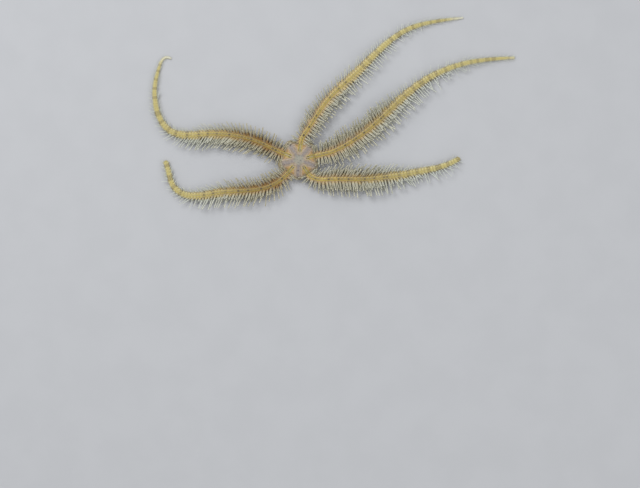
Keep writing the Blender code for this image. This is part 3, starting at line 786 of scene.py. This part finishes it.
def arm_curve(angle, knots):
    """Fine points along an arm, and how far each is from the disc's edge.

    A cubic spline on chord length that bends evenly through the knots, leaves the disc straight
    outwards and is free at its end, with a straight run before it, below the disc.
    """
    out = np.array([math.cos(math.radians(angle)), math.sin(math.radians(angle))])
    knots = np.array([out * ARM_START_RADIUS, *knots])
    chords = np.hypot(*np.diff(knots, axis=0).T)
    at = np.concatenate([[0.0], np.cumsum(chords)])
    count = len(knots)
    matrix, rows = np.zeros((count, count)), np.zeros((count, 2))
    matrix[0, 0], rows[0] = 1.0, out
    for i in range(1, count - 1):
        before, after = chords[i - 1], chords[i]
        matrix[i, i - 1 : i + 2] = 1 / before, 2 * (1 / before + 1 / after), 1 / after
        rows[i] = 3 * ((knots[i] - knots[i - 1]) / before**2 + (knots[i + 1] - knots[i]) / after**2)
    matrix[-1, -2:] = 1.0, 2.0
    rows[-1] = 3 * (knots[-1] - knots[-2]) / chords[-1]
    slopes = np.linalg.solve(matrix, rows)
    fine = np.arange(0.0, at[-1], 0.1)
    span = np.clip(np.searchsorted(at, fine, side="right") - 1, 0, count - 2)
    width = chords[span][:, None]
    t = (fine[:, None] - at[span][:, None]) / width
    line = (
        (2 * t**3 - 3 * t**2 + 1) * knots[span]
        + (t**3 - 2 * t**2 + t) * width * slopes[span]
        + (3 * t**2 - 2 * t**3) * knots[span + 1]
        + (t**3 - t**2) * width * slopes[span + 1]
    )
    inner = np.arange(ARM_ROOT_RADIUS, ARM_START_RADIUS, 0.1)[:, None] * out
    measure = np.concatenate([[0.0], np.cumsum(np.hypot(*np.diff(line, axis=0).T))])
    back = -np.hypot(*(inner - line[0]).T)
    return np.concatenate([inner, line]), np.concatenate([back, measure])


def along_arm(arm, distance):
    """The middle, the heading and the level direction to the left at distances from the disc."""
    line, measure = arm["curve"]
    behind, middle, ahead = [
        np.stack([np.interp(distance + step, measure, column) for column in line.T], axis=-1)
        for step in (-0.15, 0.0, 0.15)
    ]
    heading = ahead - behind
    heading /= np.linalg.norm(heading, axis=-1)[..., None]
    left = np.stack([-heading[..., 1], heading[..., 0]], axis=-1)
    return middle, heading, left


def arm_width(arm, distance):
    """An even width near the disc that narrows faster and faster, by a power of the share of
    the way, to the arm's end."""
    share = (distance - arm["taper_from"]) / (arm["length"] - arm["taper_from"])
    return ARM_WIDTH + (arm["end_width"] - ARM_WIDTH) * np.clip(share, 0.0, 1.0) ** TAPER_POWER


def measure_arm(name, arm):
    """Works out an arm's curve and where each of its segments starts, which shorten outwards.

    Each arm counts its segments from its own number, so that their spots don't match.
    """
    arm["curve"] = arm_curve(ARM_ANGLES[name], arm["points"])
    arm["length"] = float(arm["curve"][1][-1])
    arm["whole_length"] = arm["length"] + arm["lost"]
    fine = np.linspace(ARM_ROOT_RADIUS - ARM_START_RADIUS, arm["length"], 2000)
    share = np.clip(fine / arm["length"], 0.0, 1.0)
    segment = SEGMENT_LENGTH + (arm["last_segment"] - SEGMENT_LENGTH) * share**1.5
    counted = np.concatenate([[0.0], np.cumsum(np.diff(fine) / segment[1:])])
    arm["joints"] = np.interp(np.arange(0, int(counted[-1]) + 1), counted, fine)
    arm["counted"] = (fine, counted - np.interp(0.0, fine, counted) + arm["first_count"])


def arm_section(turn):
    """The arm's section, a rounded box, at angles from its top: how far to the side as a share
    of the half width, and how high as a share of the height, by powers of sine and cosine."""
    sine, cosine = np.sin(turn), np.cos(turn)
    sideways = np.sign(sine) * np.abs(sine) ** 0.86
    upwards = 0.5 + 0.5 * np.sign(cosine) * np.abs(cosine) ** 0.8
    return sideways, upwards


def flush(arm, distance):
    """How orange-brown an arm is: a bell curve over the distance from the disc."""
    peak, middle, spread = arm["warm"]
    return np.minimum(peak * np.exp(-(((distance - middle) / spread) ** 2)), 1.0)


def make_arm_skin(name, arm, finish):
    """An arm's skin as one closed tube.

    Its section is a share of its width tall, and flat below. Along the arm the sides draw in at
    each joint, each back plate rises to its outer edge and drops to the next, a groove parts the
    belly plates, and a slot lies in each joint beside the back plates. The end rounds off.
    """
    rings = (len(arm["joints"]) + 1) * RINGS_IN_SEGMENT
    distance = np.linspace(ARM_ROOT_RADIUS - ARM_START_RADIUS, arm["length"], rings)[:, None]
    turn = np.linspace(0.0, 2 * np.pi, POINTS_AROUND, endpoint=False)
    segments = np.interp(distance, *arm["counted"])
    phase = segments % 1.0
    width = arm_width(arm, distance)
    size = width / ARM_WIDTH
    out_of_disc = smoothstep(-1.6, 0.0, distance)
    height = width * ARM_HEIGHT_SHARE
    height = height * (ROOT_HEIGHT_SHARE + (1 - ROOT_HEIGHT_SHARE) * out_of_disc)
    sideways, upwards = arm_section(turn)
    sine, cosine = np.sin(turn), np.cos(turn)
    drawn_in = (1 - np.sin(np.pi * phase) ** 0.6) * smoothstep(0.35, 0.8, np.abs(sine))
    drawn_in = drawn_in * (0.35 + 0.65 * smoothstep(-0.6, 0.2, cosine))
    relief = SIDE_PLATE_RELIEF * (TIP_RELIEF_SHARE + (1 - TIP_RELIEF_SHARE) * size)
    half = width / 2 - relief * drawn_in
    saw = smoothstep(0.0, 0.9, phase) * smoothstep(1.0, 0.9, phase) - 0.5
    above = np.clip(cosine, 0.0, 1.0) ** 0.5
    below = np.clip(-cosine, 0.0, 1.0)
    groove = smoothstep(0.14, 0.0, np.minimum(phase, 1 - phase))
    rounding = np.clip((arm["length"] - distance) / (END_ROUNDING * arm["end_width"]), 0.0, 1.0)
    closing = np.sqrt(1 - (1 - rounding) ** 2) * 0.98 + 0.02
    across = half * sideways * closing
    lift = height * (AXIS_HEIGHT_SHARE + (upwards - AXIS_HEIGHT_SHARE) * closing)
    lift = lift + size * (BACK_PLATE_RELIEF * saw * above + BELLY_PLATE_RELIEF * groove * below)
    lift = lift - size * SLOT_DEPTH * groove * smoothstep(0.4, 0.7, np.abs(sine)) * above
    lift = lift + ROOT_LIFT * smoothstep(-1.8, -3.2, distance) * below
    middle, _, left = along_arm(arm, distance[:, 0])
    spot = middle[:, None] + left[:, None] * across[..., None] + DISC_AT
    points = np.concatenate([spot, np.maximum(lift, 0.0)[..., None]], axis=-1)
    poles = [(*(middle[end] + DISC_AT), height[end, 0] * AXIS_HEIGHT_SHARE) for end in (0, -1)]
    values = {
        "across": half * sideways / size, "segments": segments,
        "reach": distance / arm["whole_length"], "back": smoothstep(-0.35, 0.1, cosine),
        "warm": flush(arm, distance),
    }
    return tube_object(name + "_skin", points, poles, values, finish)


def segment_marks_group():
    """Marks that skin and spines share, from the count of segments. Spotted is 1 in every third
    or fourth segment and Spot is round in the middle of it, Outer rises from 0 at the disc to 1
    along the arm, as the colours turn from tan to pale yellow, End is the pale tip, Joint lies
    between two segments, and Waist is a wider and softer Joint on the outer arm."""
    group, segments, reach, across = new_group(
        "segment_marks", {"Segments": 0.0, "Reach": 0.0, "Across": 0.0},
        ("Spotted", "Spot", "Outer", "End", "Joint", "Waist"),
    )
    whole = calculate("FLOOR", segments)
    drift = add_node(group, "CombineXYZ", {0: whole})
    uneven = add_node(group, "TexNoise", {"Vector": drift, "Scale": 0.21})
    faint = add_node(group, "TexNoise", {"Vector": drift, "Scale": 0.57, "Detail": 0.0})
    spotted = ramp(calculate("FRACT", (whole + uneven * 5.0) * (1 / 3.6)), 0.29, 0.27)
    strength = ramp(faint, 0.36, 0.52) * 0.6 + 0.4
    phase = calculate("FRACT", segments)
    edge = calculate("MINIMUM", phase, 1.0 - phase)
    along = (phase - 0.5) / 0.4
    aside = across / 0.42
    outer = ramp(reach, 0.08, 0.75)
    return put_out(
        group, Spotted=spotted, Outer=outer,
        Spot=spotted * ramp(along * along + aside * aside, 1.5, 0.1) * strength,
        End=ramp(reach, 0.9, 1.01),
        Joint=ramp(edge, 0.15, 0.03),
        Waist=ramp(edge, 0.34, 0.08) * outer,
    )


segment_marks = segment_marks_group()


def arm_finish():
    """Tan and yellow plated skin: lines along the back, dark spots, and cream below with two
    rows of dark dashes."""
    finish, tree = new_finish(
        "arm_finish", Roughness=0.42, Coat_Weight=0.12, Coat_Roughness=0.3,
        Subsurface_Weight=0.15, Subsurface_Scale=0.0004, Subsurface_Radius=(1.0, 0.85, 0.7),
    )
    across, segments, reach, warm, back = kept_values(
        tree, "across", "segments", "reach", "warm", "back"
    )
    away = abs(across)
    marks = placed(tree, segment_marks, Segments=segments, Reach=reach, Across=across)
    outer, spotted, spot, joint, waist = [
        marks[name] for name in ("Outer", "Spotted", "Spot", "Joint", "Waist")
    ]
    lines = placed(
        tree, arm_lines, Across=across, Segments=segments, Spread=ramp(reach, 0.1, 0.0) * 0.2 + 1.08
    )
    broad = placed(tree, skin_mottle, Size=0.7)["Mottle"]
    small = placed(tree, skin_mottle, Size=0.25)
    speckle = ramp(small["Grain"], 0.62, 0.72)
    near = blend(warm, blend(broad, (164, 136, 88), (178, 158, 112)), (138, 98, 46))
    paling = 0.85 - outer * 0.5
    # The back plates, with paler cheeks, and with brown in the joints on the sides.
    skin = painted(
        blend(outer, near, blend(broad, (190, 180, 114), (202, 195, 146))),
        (ramp(away, 0.6, 1.0) * 0.6, blend(outer, (194, 166, 128), (206, 200, 166))),
        (joint * ramp(away, 0.5, 0.9) * paling, blend(warm, (126, 92, 56), (96, 56, 26))),
        (joint * paling * 0.36, (132, 98, 58)),
    )
    # The yellow middle and the lines along it, which pale outwards.
    skin = painted(
        skin,
        (ramp(away, 0.8, 0.45) * outer * 0.4, (192, 180, 108)),
        (ramp(away, 0.9, 0.4) * (0.35 - outer * 0.2), (182, 150, 66)),
        (ramp(away, 0.46, 0.34) * ramp(outer, 0.8, 0.1) * 0.4, (164, 144, 74)),
        (lines["Yellow"] * (0.85 - outer * 0.4), (182, 168, 66)),
        (lines["Pale"] * 0.6, (160, 144, 112)),
        (warm * 0.42, (96, 70, 16)),
        (lines["Black"] * (1.0 - outer * 0.8), (52, 46, 32)),
    )
    # The dusky spotted segments, the beads and waists of the outer arm, and the dark spots.
    skin = painted(
        skin,
        (spotted * ramp(away, 0.5, 0.8) * 0.55, (126, 118, 102)),
        (spotted * outer * 0.5, (136, 122, 84)),
        (waist * ramp(broad, 0.3, 0.9) * 0.45, (116, 104, 66)),
        (ramp(waist, 0.1, 0.0) * outer * ramp(away, 0.9, 0.3) * 0.15, (206, 202, 140)),
        (small["Mottle"] * outer * 0.4, (150, 142, 86)),
        (spot * (0.9 - outer * 0.6), (58, 44, 38)),
        (speckle * 0.45, (122, 86, 52)),
        (marks["End"], (206, 206, 190)),
    )
    # The belly, whose spots and dashes end where the arm passes in under the disc.
    free = ramp(reach, -0.031, -0.024)
    belly = painted(
        blend(broad, (224, 212, 138), (226, 216, 166)),
        (ramp(away, 0.7, 1.0), (204, 188, 136)),
        (stripe(away, 0.58, 0.08, 0.12) * 0.8, (242, 234, 156)),
        (spot * free * 0.75, (140, 126, 144)),
        (stripe(away, 0.3, 0.035, 0.05) * ramp(joint, 0.7, 0.2) * free * 0.9, (66, 62, 50)),
        (speckle * 0.5, (126, 122, 66)),
    )
    return coloured(finish, blend(back, belly, skin), small["Grain"], 0.04)


arm_material = arm_finish()
for number, (arm_name, arm) in enumerate(ARMS.items()):
    arm["first_count"] = COUNTS_APART * number
    measure_arm(arm_name, arm)
    skin = make_arm_skin(arm_name, arm, arm_material)
    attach(skin, "root")
    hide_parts(*[f"{arm_name}_length_{i + 1}" for i in range(arm["lengths"])])


# The spines. Every segment carries a fan of blunt, glassy rods of lime on each side. Tan skin
# sheathes their thick roots, which stand close together, and their ends widen a little. One or
# two of a fan are long. Those near the disc are shorter, and they dwindle to the arm's end.
SPINE_THICKNESS = 0.195
TABLE_STEP = 10.0
FIRST_FAN = -0.6
LONGEST_SPINE = 6.0
SHORTEST_SPINE = 0.25
SPINE_SUNK = 0.5
FLOOR_GAP = 0.12
# Degrees: how far spines lean back and lower ones rise next to the disc, how much the lean
# changes over a fan and from one spine to the next, how far off it is at most where the outer
# spines stand loose, and how far a spine stands askew at most.
LEAN_BACK = 16.0
RISE_OVER_LOBES = 38.0
FAN_LEAN = 4.0
ZIGZAG_LEAN = 3.0
LOOSE_LEAN = 24.0
ASKEW_LEAN = 20.0
# Shares: how far from the segment's middle every other spine stands, the spines that are askew,
# those that are missing from a short fan and from the outer arm, and how much more slender they
# are in these two places.
ZIGZAG = 0.11
ASKEW = 0.09
MISSING_IN_SHORT_FAN = 0.18
MISSING_OUTSIDE = 0.1
SLENDER_IN_SHORT_FAN = 0.26
SLENDER_OUTSIDE = 0.34
# The least and the most by which each thing is shaken: a spine's place as a share of its segment,
# the lean of a fan and of a spine and the rise in degrees, factors on the length of a spine and
# of a fan, on the thickness and on the root's swelling, what is added to the length's factor
# where spines stand loose, and to the share of the arm up to which a spine is found.
SHAKEN = {
    "place": (-0.06, 0.06), "fan_lean": (-4.0, 4.0), "lean": (-5.0, 5.0), "rise": (-6.0, 6.0),
    "length": (0.84, 1.1), "fan_length": (0.92, 1.06), "thickness": (0.86, 1.1),
    "swell": (0.7, 1.2), "loose_length": (-0.4, 0.2), "farthest": (-0.14, 0.14),
}
# The fan from the back down: the root's angle round the arm's section from the top, the rise
# from level, both in degrees, its reach as a share of the close rows' and how much of the way
# from there to the longest's, its thickness as a share, how far along the arm it is found, as a
# share of the arm, and how much its root swells.
SPINE_FAN = (
    (44.0, 44.0, 0.74, 0.0, 0.95, 0.35, 1.0), (54.0, 38.0, 0.84, 0.0, 1.0, 0.95, 1.05),
    (64.0, 28.0, 0.94, 0.0, 1.0, 0.55, 1.0), (73.0, 18.0, 1.0, 1.0, 1.0, 1.2, 0.9),
    (84.0, 9.0, 0.74, 0.0, 1.0, 0.45, 0.8), (95.0, 3.0, 0.98, 0.2, 0.95, 0.6, 0.6),
    (107.0, 0.0, 0.68, 0.0, 0.9, 0.4, 0.4), (120.0, -4.0, 0.6, 0.0, 0.8, 0.3, 0.2),
)
# A spine: how far along, half its width and depth there, as shares of its thickness, and how
# much wider and deeper it is there where its root swells fully.
SPINE_PROFILE = (
    (0.0, 1.1, 1.1, 0.6), (0.16, 1.35, 1.2, 0.75), (0.36, 1.25, 1.1, 0.6), (0.55, 1.08, 1.0, 0.15),
    (0.9, 1.16, 1.02, 0.0), (0.985, 1.1, 0.78, 0.0),
)
SPINE_SIDES = 7
LOWEST_SPINE = 0.02
MAP_PATCH = 0.0015
MAP_MARGIN = 0.02


def spines_of(arm, seed):
    """Every spine of an arm, as arrays: start, direction, length, thickness, bends, and place.

    A fan stands at the middle of each segment on both sides, with every other spine set nearer
    to the disc and the rest further out, so that their roots fill the segment. Their reach and
    lean come from the arm's rows, shaken a little for each fan and each spine. Next to the disc
    they lean back, a few stand askew, more stand loose on the outer arm, and a few are missing.
    """
    draw = np.random.default_rng(seed)
    joints = arm["joints"]
    middles = (joints[:-1] + joints[1:]) / 2
    middles = middles[middles > FIRST_FAN]
    root_turn, elevation, close_share, long_share, stoutness, farthest, swell = np.array(SPINE_FAN).T
    fans = (len(middles), 2, 1)
    shape = (len(middles), 2, len(SPINE_FAN))
    spread = np.linspace(-1.0, 1.0, len(SPINE_FAN))
    side = np.broadcast_to(np.array([1.0, -1.0])[None, :, None], shape)
    zigzag = np.where(np.arange(len(SPINE_FAN)) % 2, 1.0, -1.0) * side
    pitch = np.interp(middles, joints[1:], np.diff(joints))[:, None, None]
    shift = draw.uniform(*SHAKEN["place"], shape) + ZIGZAG * zigzag
    distance = np.clip(middles[:, None, None] + pitch * shift, 0.15, arm["length"] - 0.1)
    place_along = distance / arm["whole_length"]
    width = arm_width(arm, distance)
    size = smoothstep(0.3, 2.9, width)
    askew = draw.random(shape) < ASKEW
    askew = np.where(askew, draw.uniform(-ASKEW_LEAN, ASKEW_LEAN, shape), 0.0)
    longest, close, leaning = [
        np.stack([
            np.interp(distance[:, k], TABLE_STEP * np.arange(len(rows[kind])), rows[kind])
            for k, rows in enumerate((arm["left"], arm["right"]))
        ], axis=1)
        for kind in range(3)
    ]
    loose = smoothstep(0.4, 0.8, distance / arm["length"])
    lean = leaning + draw.uniform(*SHAKEN["fan_lean"], fans) + draw.uniform(*SHAKEN["lean"], shape)
    lean = lean - LEAN_BACK * smoothstep(2.4, 0.1, distance)
    lean = lean + LOOSE_LEAN * loose * draw.uniform(-1, 1, shape)
    lean = np.radians(lean + FAN_LEAN * spread + ZIGZAG_LEAN * zigzag + askew)
    rise = elevation * (0.6 + 0.4 * size) + draw.uniform(*SHAKEN["rise"], shape)
    rise = np.radians(np.maximum(rise, RISE_OVER_LOBES * smoothstep(2.2, 0.2, distance)))
    middle, heading, left = along_arm(arm, distance)
    out = left * side[..., None]
    level = out * np.cos(lean)[..., None] + heading * np.sin(lean)[..., None]
    sheathed = np.maximum(np.array(arm["sheath"])[None, :, None], smoothstep(16.0, 5.0, distance))
    sideways, upwards = arm_section(np.radians(root_turn))
    root_out = width / 2 * sideways
    # The upper spines are fuller near the disc.
    fuller = 1.0 + 0.2 * smoothstep(30.0, 8.0, distance) * elevation / elevation.max()
    reach = close * close_share * fuller + (longest - close) * long_share - root_out
    length = np.maximum(reach, 0.15) / np.cos(np.radians(0.7 * leaning)) / np.cos(rise)
    length = length * draw.uniform(*SHAKEN["length"], shape)
    length = length * draw.uniform(*SHAKEN["fan_length"], fans)
    looser = 1.0 + draw.uniform(*SHAKEN["loose_length"], shape) * loose
    length = np.minimum(length, LONGEST_SPINE) * looser
    # Spines dwindle to nothing at a whole arm's end, and less where the end has broken off.
    to_end = (arm["length"] - distance) / arm["bare_end"]
    length = length * smoothstep(-0.8 if arm["lost"] else 0.0, 1.0, to_end)
    sunk = np.minimum(SPINE_SUNK, 0.3 * width)
    length = np.maximum(length, SHORTEST_SPINE) + sunk
    short_fan = smoothstep(6.2, 3.6, longest) * size
    slender = 1.0 - SLENDER_OUTSIDE * smoothstep(0.25, 0.7, place_along)
    slender = slender * (1.0 - SLENDER_IN_SHORT_FAN * short_fan)
    thick = SPINE_THICKNESS * stoutness * (0.5 + 0.5 * size) * slender
    thick = thick * draw.uniform(*SHAKEN["thickness"], shape)
    root_height = np.maximum(width * ARM_HEIGHT_SHARE * upwards, thick * 1.3 + FLOOR_GAP)
    # A spine that would dip to the floor is raised until its tip clears it.
    lowest = np.arcsin(np.clip((thick + FLOOR_GAP - root_height) / length, -1.0, 1.0))
    rise = np.maximum(rise, lowest)
    along = np.concatenate([level * np.cos(rise)[..., None], np.sin(rise)[..., None]], axis=-1)
    root = middle + out * root_out[..., None] + DISC_AT
    start = np.concatenate([root, root_height[..., None]], axis=-1) - along * sunk[..., None]
    bends = length[..., None] * draw.uniform((-0.07, -0.02), (0.07, 0.06), (*shape, 2))
    sheath = (0.85 + 0.65 * sheathed) * (0.45 + 0.55 * size) * (1.9 * slender - 0.9)
    tone = draw.uniform(0.0, 1.0, shape)
    swell = swell * draw.uniform(*SHAKEN["swell"], shape)
    place = {
        "segments": np.interp(distance, *arm["counted"]), "reach": place_along, "tone": tone,
        "warm": flush(arm, distance) * sheathed,
        "swell": swell * (1.0 + 0.2 * smoothstep(24.0, 4.0, distance)),
        "sheath": (sunk + sheath) / length, "map_height": 0.5 + side * root_turn / 300,
    }
    missing = MISSING_IN_SHORT_FAN * short_fan
    missing = missing + MISSING_OUTSIDE * smoothstep(0.45, 0.7, place_along)
    kept = place_along < farthest + draw.uniform(*SHAKEN["farthest"], shape)
    kept = kept & (draw.random(shape) > missing)
    place = {label: numbers[kept] for label, numbers in place.items()}
    return start[kept], along[kept], length[kept], thick[kept], bends[kept], place


def make_spines(name, arm, finish, seed):
    """All the spines of an arm as one mesh, with a map for its colours: each spine is a round
    patch at its root's place on the arm's skin laid flat, with its tip in the middle."""
    start, along, length, thick, bends, place = spines_of(arm, seed)
    ring_share, wide, deep, swollen = np.array(SPINE_PROFILE).T
    bulge = place.pop("swell")[:, None] * swollen
    thick = thick[:, None]
    points, faces, (number, share, turn) = rods(
        start, along, length, ring_share, thick * (wide + bulge), thick * (deep + 0.7 * bulge),
        bends, SPINE_SIDES
    )
    points[:, 2] = np.maximum(points[:, 2], LOWEST_SPINE)
    values = {label: numbers[number] for label, numbers in place.items()}
    patch = MAP_PATCH * (1 - 0.85 * share)
    u = MAP_MARGIN + (1 - 2 * MAP_MARGIN) * values["reach"] + patch * np.cos(turn)
    v = values.pop("map_height") + patch * np.sin(turn)
    values["share"] = share
    spines = surface_object(name + "_spines", points, *faces, values, finish)
    corner = np.empty(len(spines.data.loops), np.int32)
    spines.data.loops.foreach_get("vertex_index", corner)
    layer = spines.data.uv_layers.new(name="OFBake")
    layer.data.foreach_set("uv", np.stack([u, v], axis=-1)[corner].astype(np.float32).ravel())
    return spines


def spine_finish():
    """Glassy lime: tan skin at the root, clear pale grey to the tip, bluer along the outer arm."""
    finish, tree = new_finish(
        "spine_finish", Roughness=0.3, Coat_Weight=0.1, Coat_Roughness=0.2,
        Subsurface_Weight=0.3, Subsurface_Scale=0.0005, Subsurface_Radius=(1.0, 0.95, 0.85),
    )
    share, sheath, tone, warm, reach, segments = kept_values(
        tree, "share", "sheath", "tone", "warm", "reach", "segments"
    )
    marks = placed(tree, segment_marks, Segments=segments, Reach=reach)
    mottle = placed(tree, skin_mottle, Size=0.35)
    glassy = painted(
        blend(tone, (160, 158, 138), (192, 190, 172)),
        (warm * 0.55, (160, 149, 114)),
        (marks["Outer"], (192, 197, 190)),
    )
    sheathed = painted(
        blend(mottle["Mottle"], (188, 170, 132), (200, 185, 152)),
        (warm, (146, 116, 70)),
        (marks["Outer"], (188, 175, 108)),
        (ramp(reach, 0.55, 0.95), (198, 196, 160)),
        (marks["Spotted"] * 0.6, (160, 152, 134)),
    )
    bare = ramp(share - sheath + tone * 0.14, -0.14, 0.2)
    return coloured(finish, blend(bare, sheathed, glassy), mottle["Grain"], 0.03)


spine_material = spine_finish()
for number, (arm_name, arm) in enumerate(ARMS.items()):
    spines = make_spines(arm_name, arm, spine_material, seed=20 + number)
    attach(spines, "root")


# The floor: a plain, pale, matt board, larger than any view. The animal lies on it with its mouth
# side, and its top is a hair lower, so that nothing cuts into it.
FLOOR_SIZE = 4000.0
FLOOR_DROP = 0.03
half = FLOOR_SIZE / 2
corners = np.array([(-half, -half), (half, -half), (half, half), (-half, half)])
board = np.concatenate([corners, np.full((4, 1), -FLOOR_DROP)], axis=1)
floor_finish, floor_tree = new_finish("floor_finish", Roughness=0.7)
cloudy = placed(floor_tree, skin_mottle, Size=12.0)["Mottle"]
coloured(floor_finish, blend(cloudy, (176, 178, 182), (178, 180, 184)))
no_fans = np.zeros((0, 3), int)
floor = surface_object("floor", board, np.array([[0, 1, 2, 3]]), no_fans, {}, floor_finish)


# The light: a large soft panel at the upper left, a weaker one at the lower right, and an even
# white sky. Both panels hang high above the floor and face the middle of the animal.
SKY_STRENGTH = 0.58


def light_panel(name, place, size, power):
    """A square lamp that faces the middle of the animal."""
    lamp = bpy.data.lights.new(name, "AREA")
    lamp.size = size * MM
    lamp.energy = power
    panel = bpy.data.objects.new(name, lamp)
    bpy.context.scene.collection.objects.link(panel)
    x, y, z = place
    panel.location = (x * MM, y * MM, z * MM)
    panel.rotation_euler = (math.atan2(math.hypot(x, y), z), 0.0, math.atan2(y, x) + math.pi / 2)


light_panel("key_light", (-340.0, 320.0, 700.0), 420.0, 4.2)
light_panel("fill_light", (480.0, -260.0, 600.0), 500.0, 1.4)
world = bpy.data.worlds.new("studio")
world.use_nodes = True
sky = world.node_tree.nodes["Background"].inputs
sky["Color"].default_value = (1.0, 1.0, 1.0, 1.0)
sky["Strength"].default_value = SKY_STRENGTH
bpy.context.scene.world = world
bpy.context.scene.view_settings.view_transform = "Standard"


# The camera looks straight down. Its frame is 237 mm wide on the floor, and its middle lies to the
# right of and below the disc, as in the picture.
VIEW_WIDTH = 237.0
VIEW_MIDDLE = (-3.87, -48.5)
LENS = 100.0
lens = bpy.data.cameras.new("camera")
lens.lens = LENS
camera = bpy.data.objects.new("camera", lens)
bpy.context.scene.collection.objects.link(camera)
camera_height = VIEW_WIDTH * LENS / lens.sensor_width
camera.location = (VIEW_MIDDLE[0] * MM, VIEW_MIDDLE[1] * MM, camera_height * MM)
bpy.context.scene.camera = camera
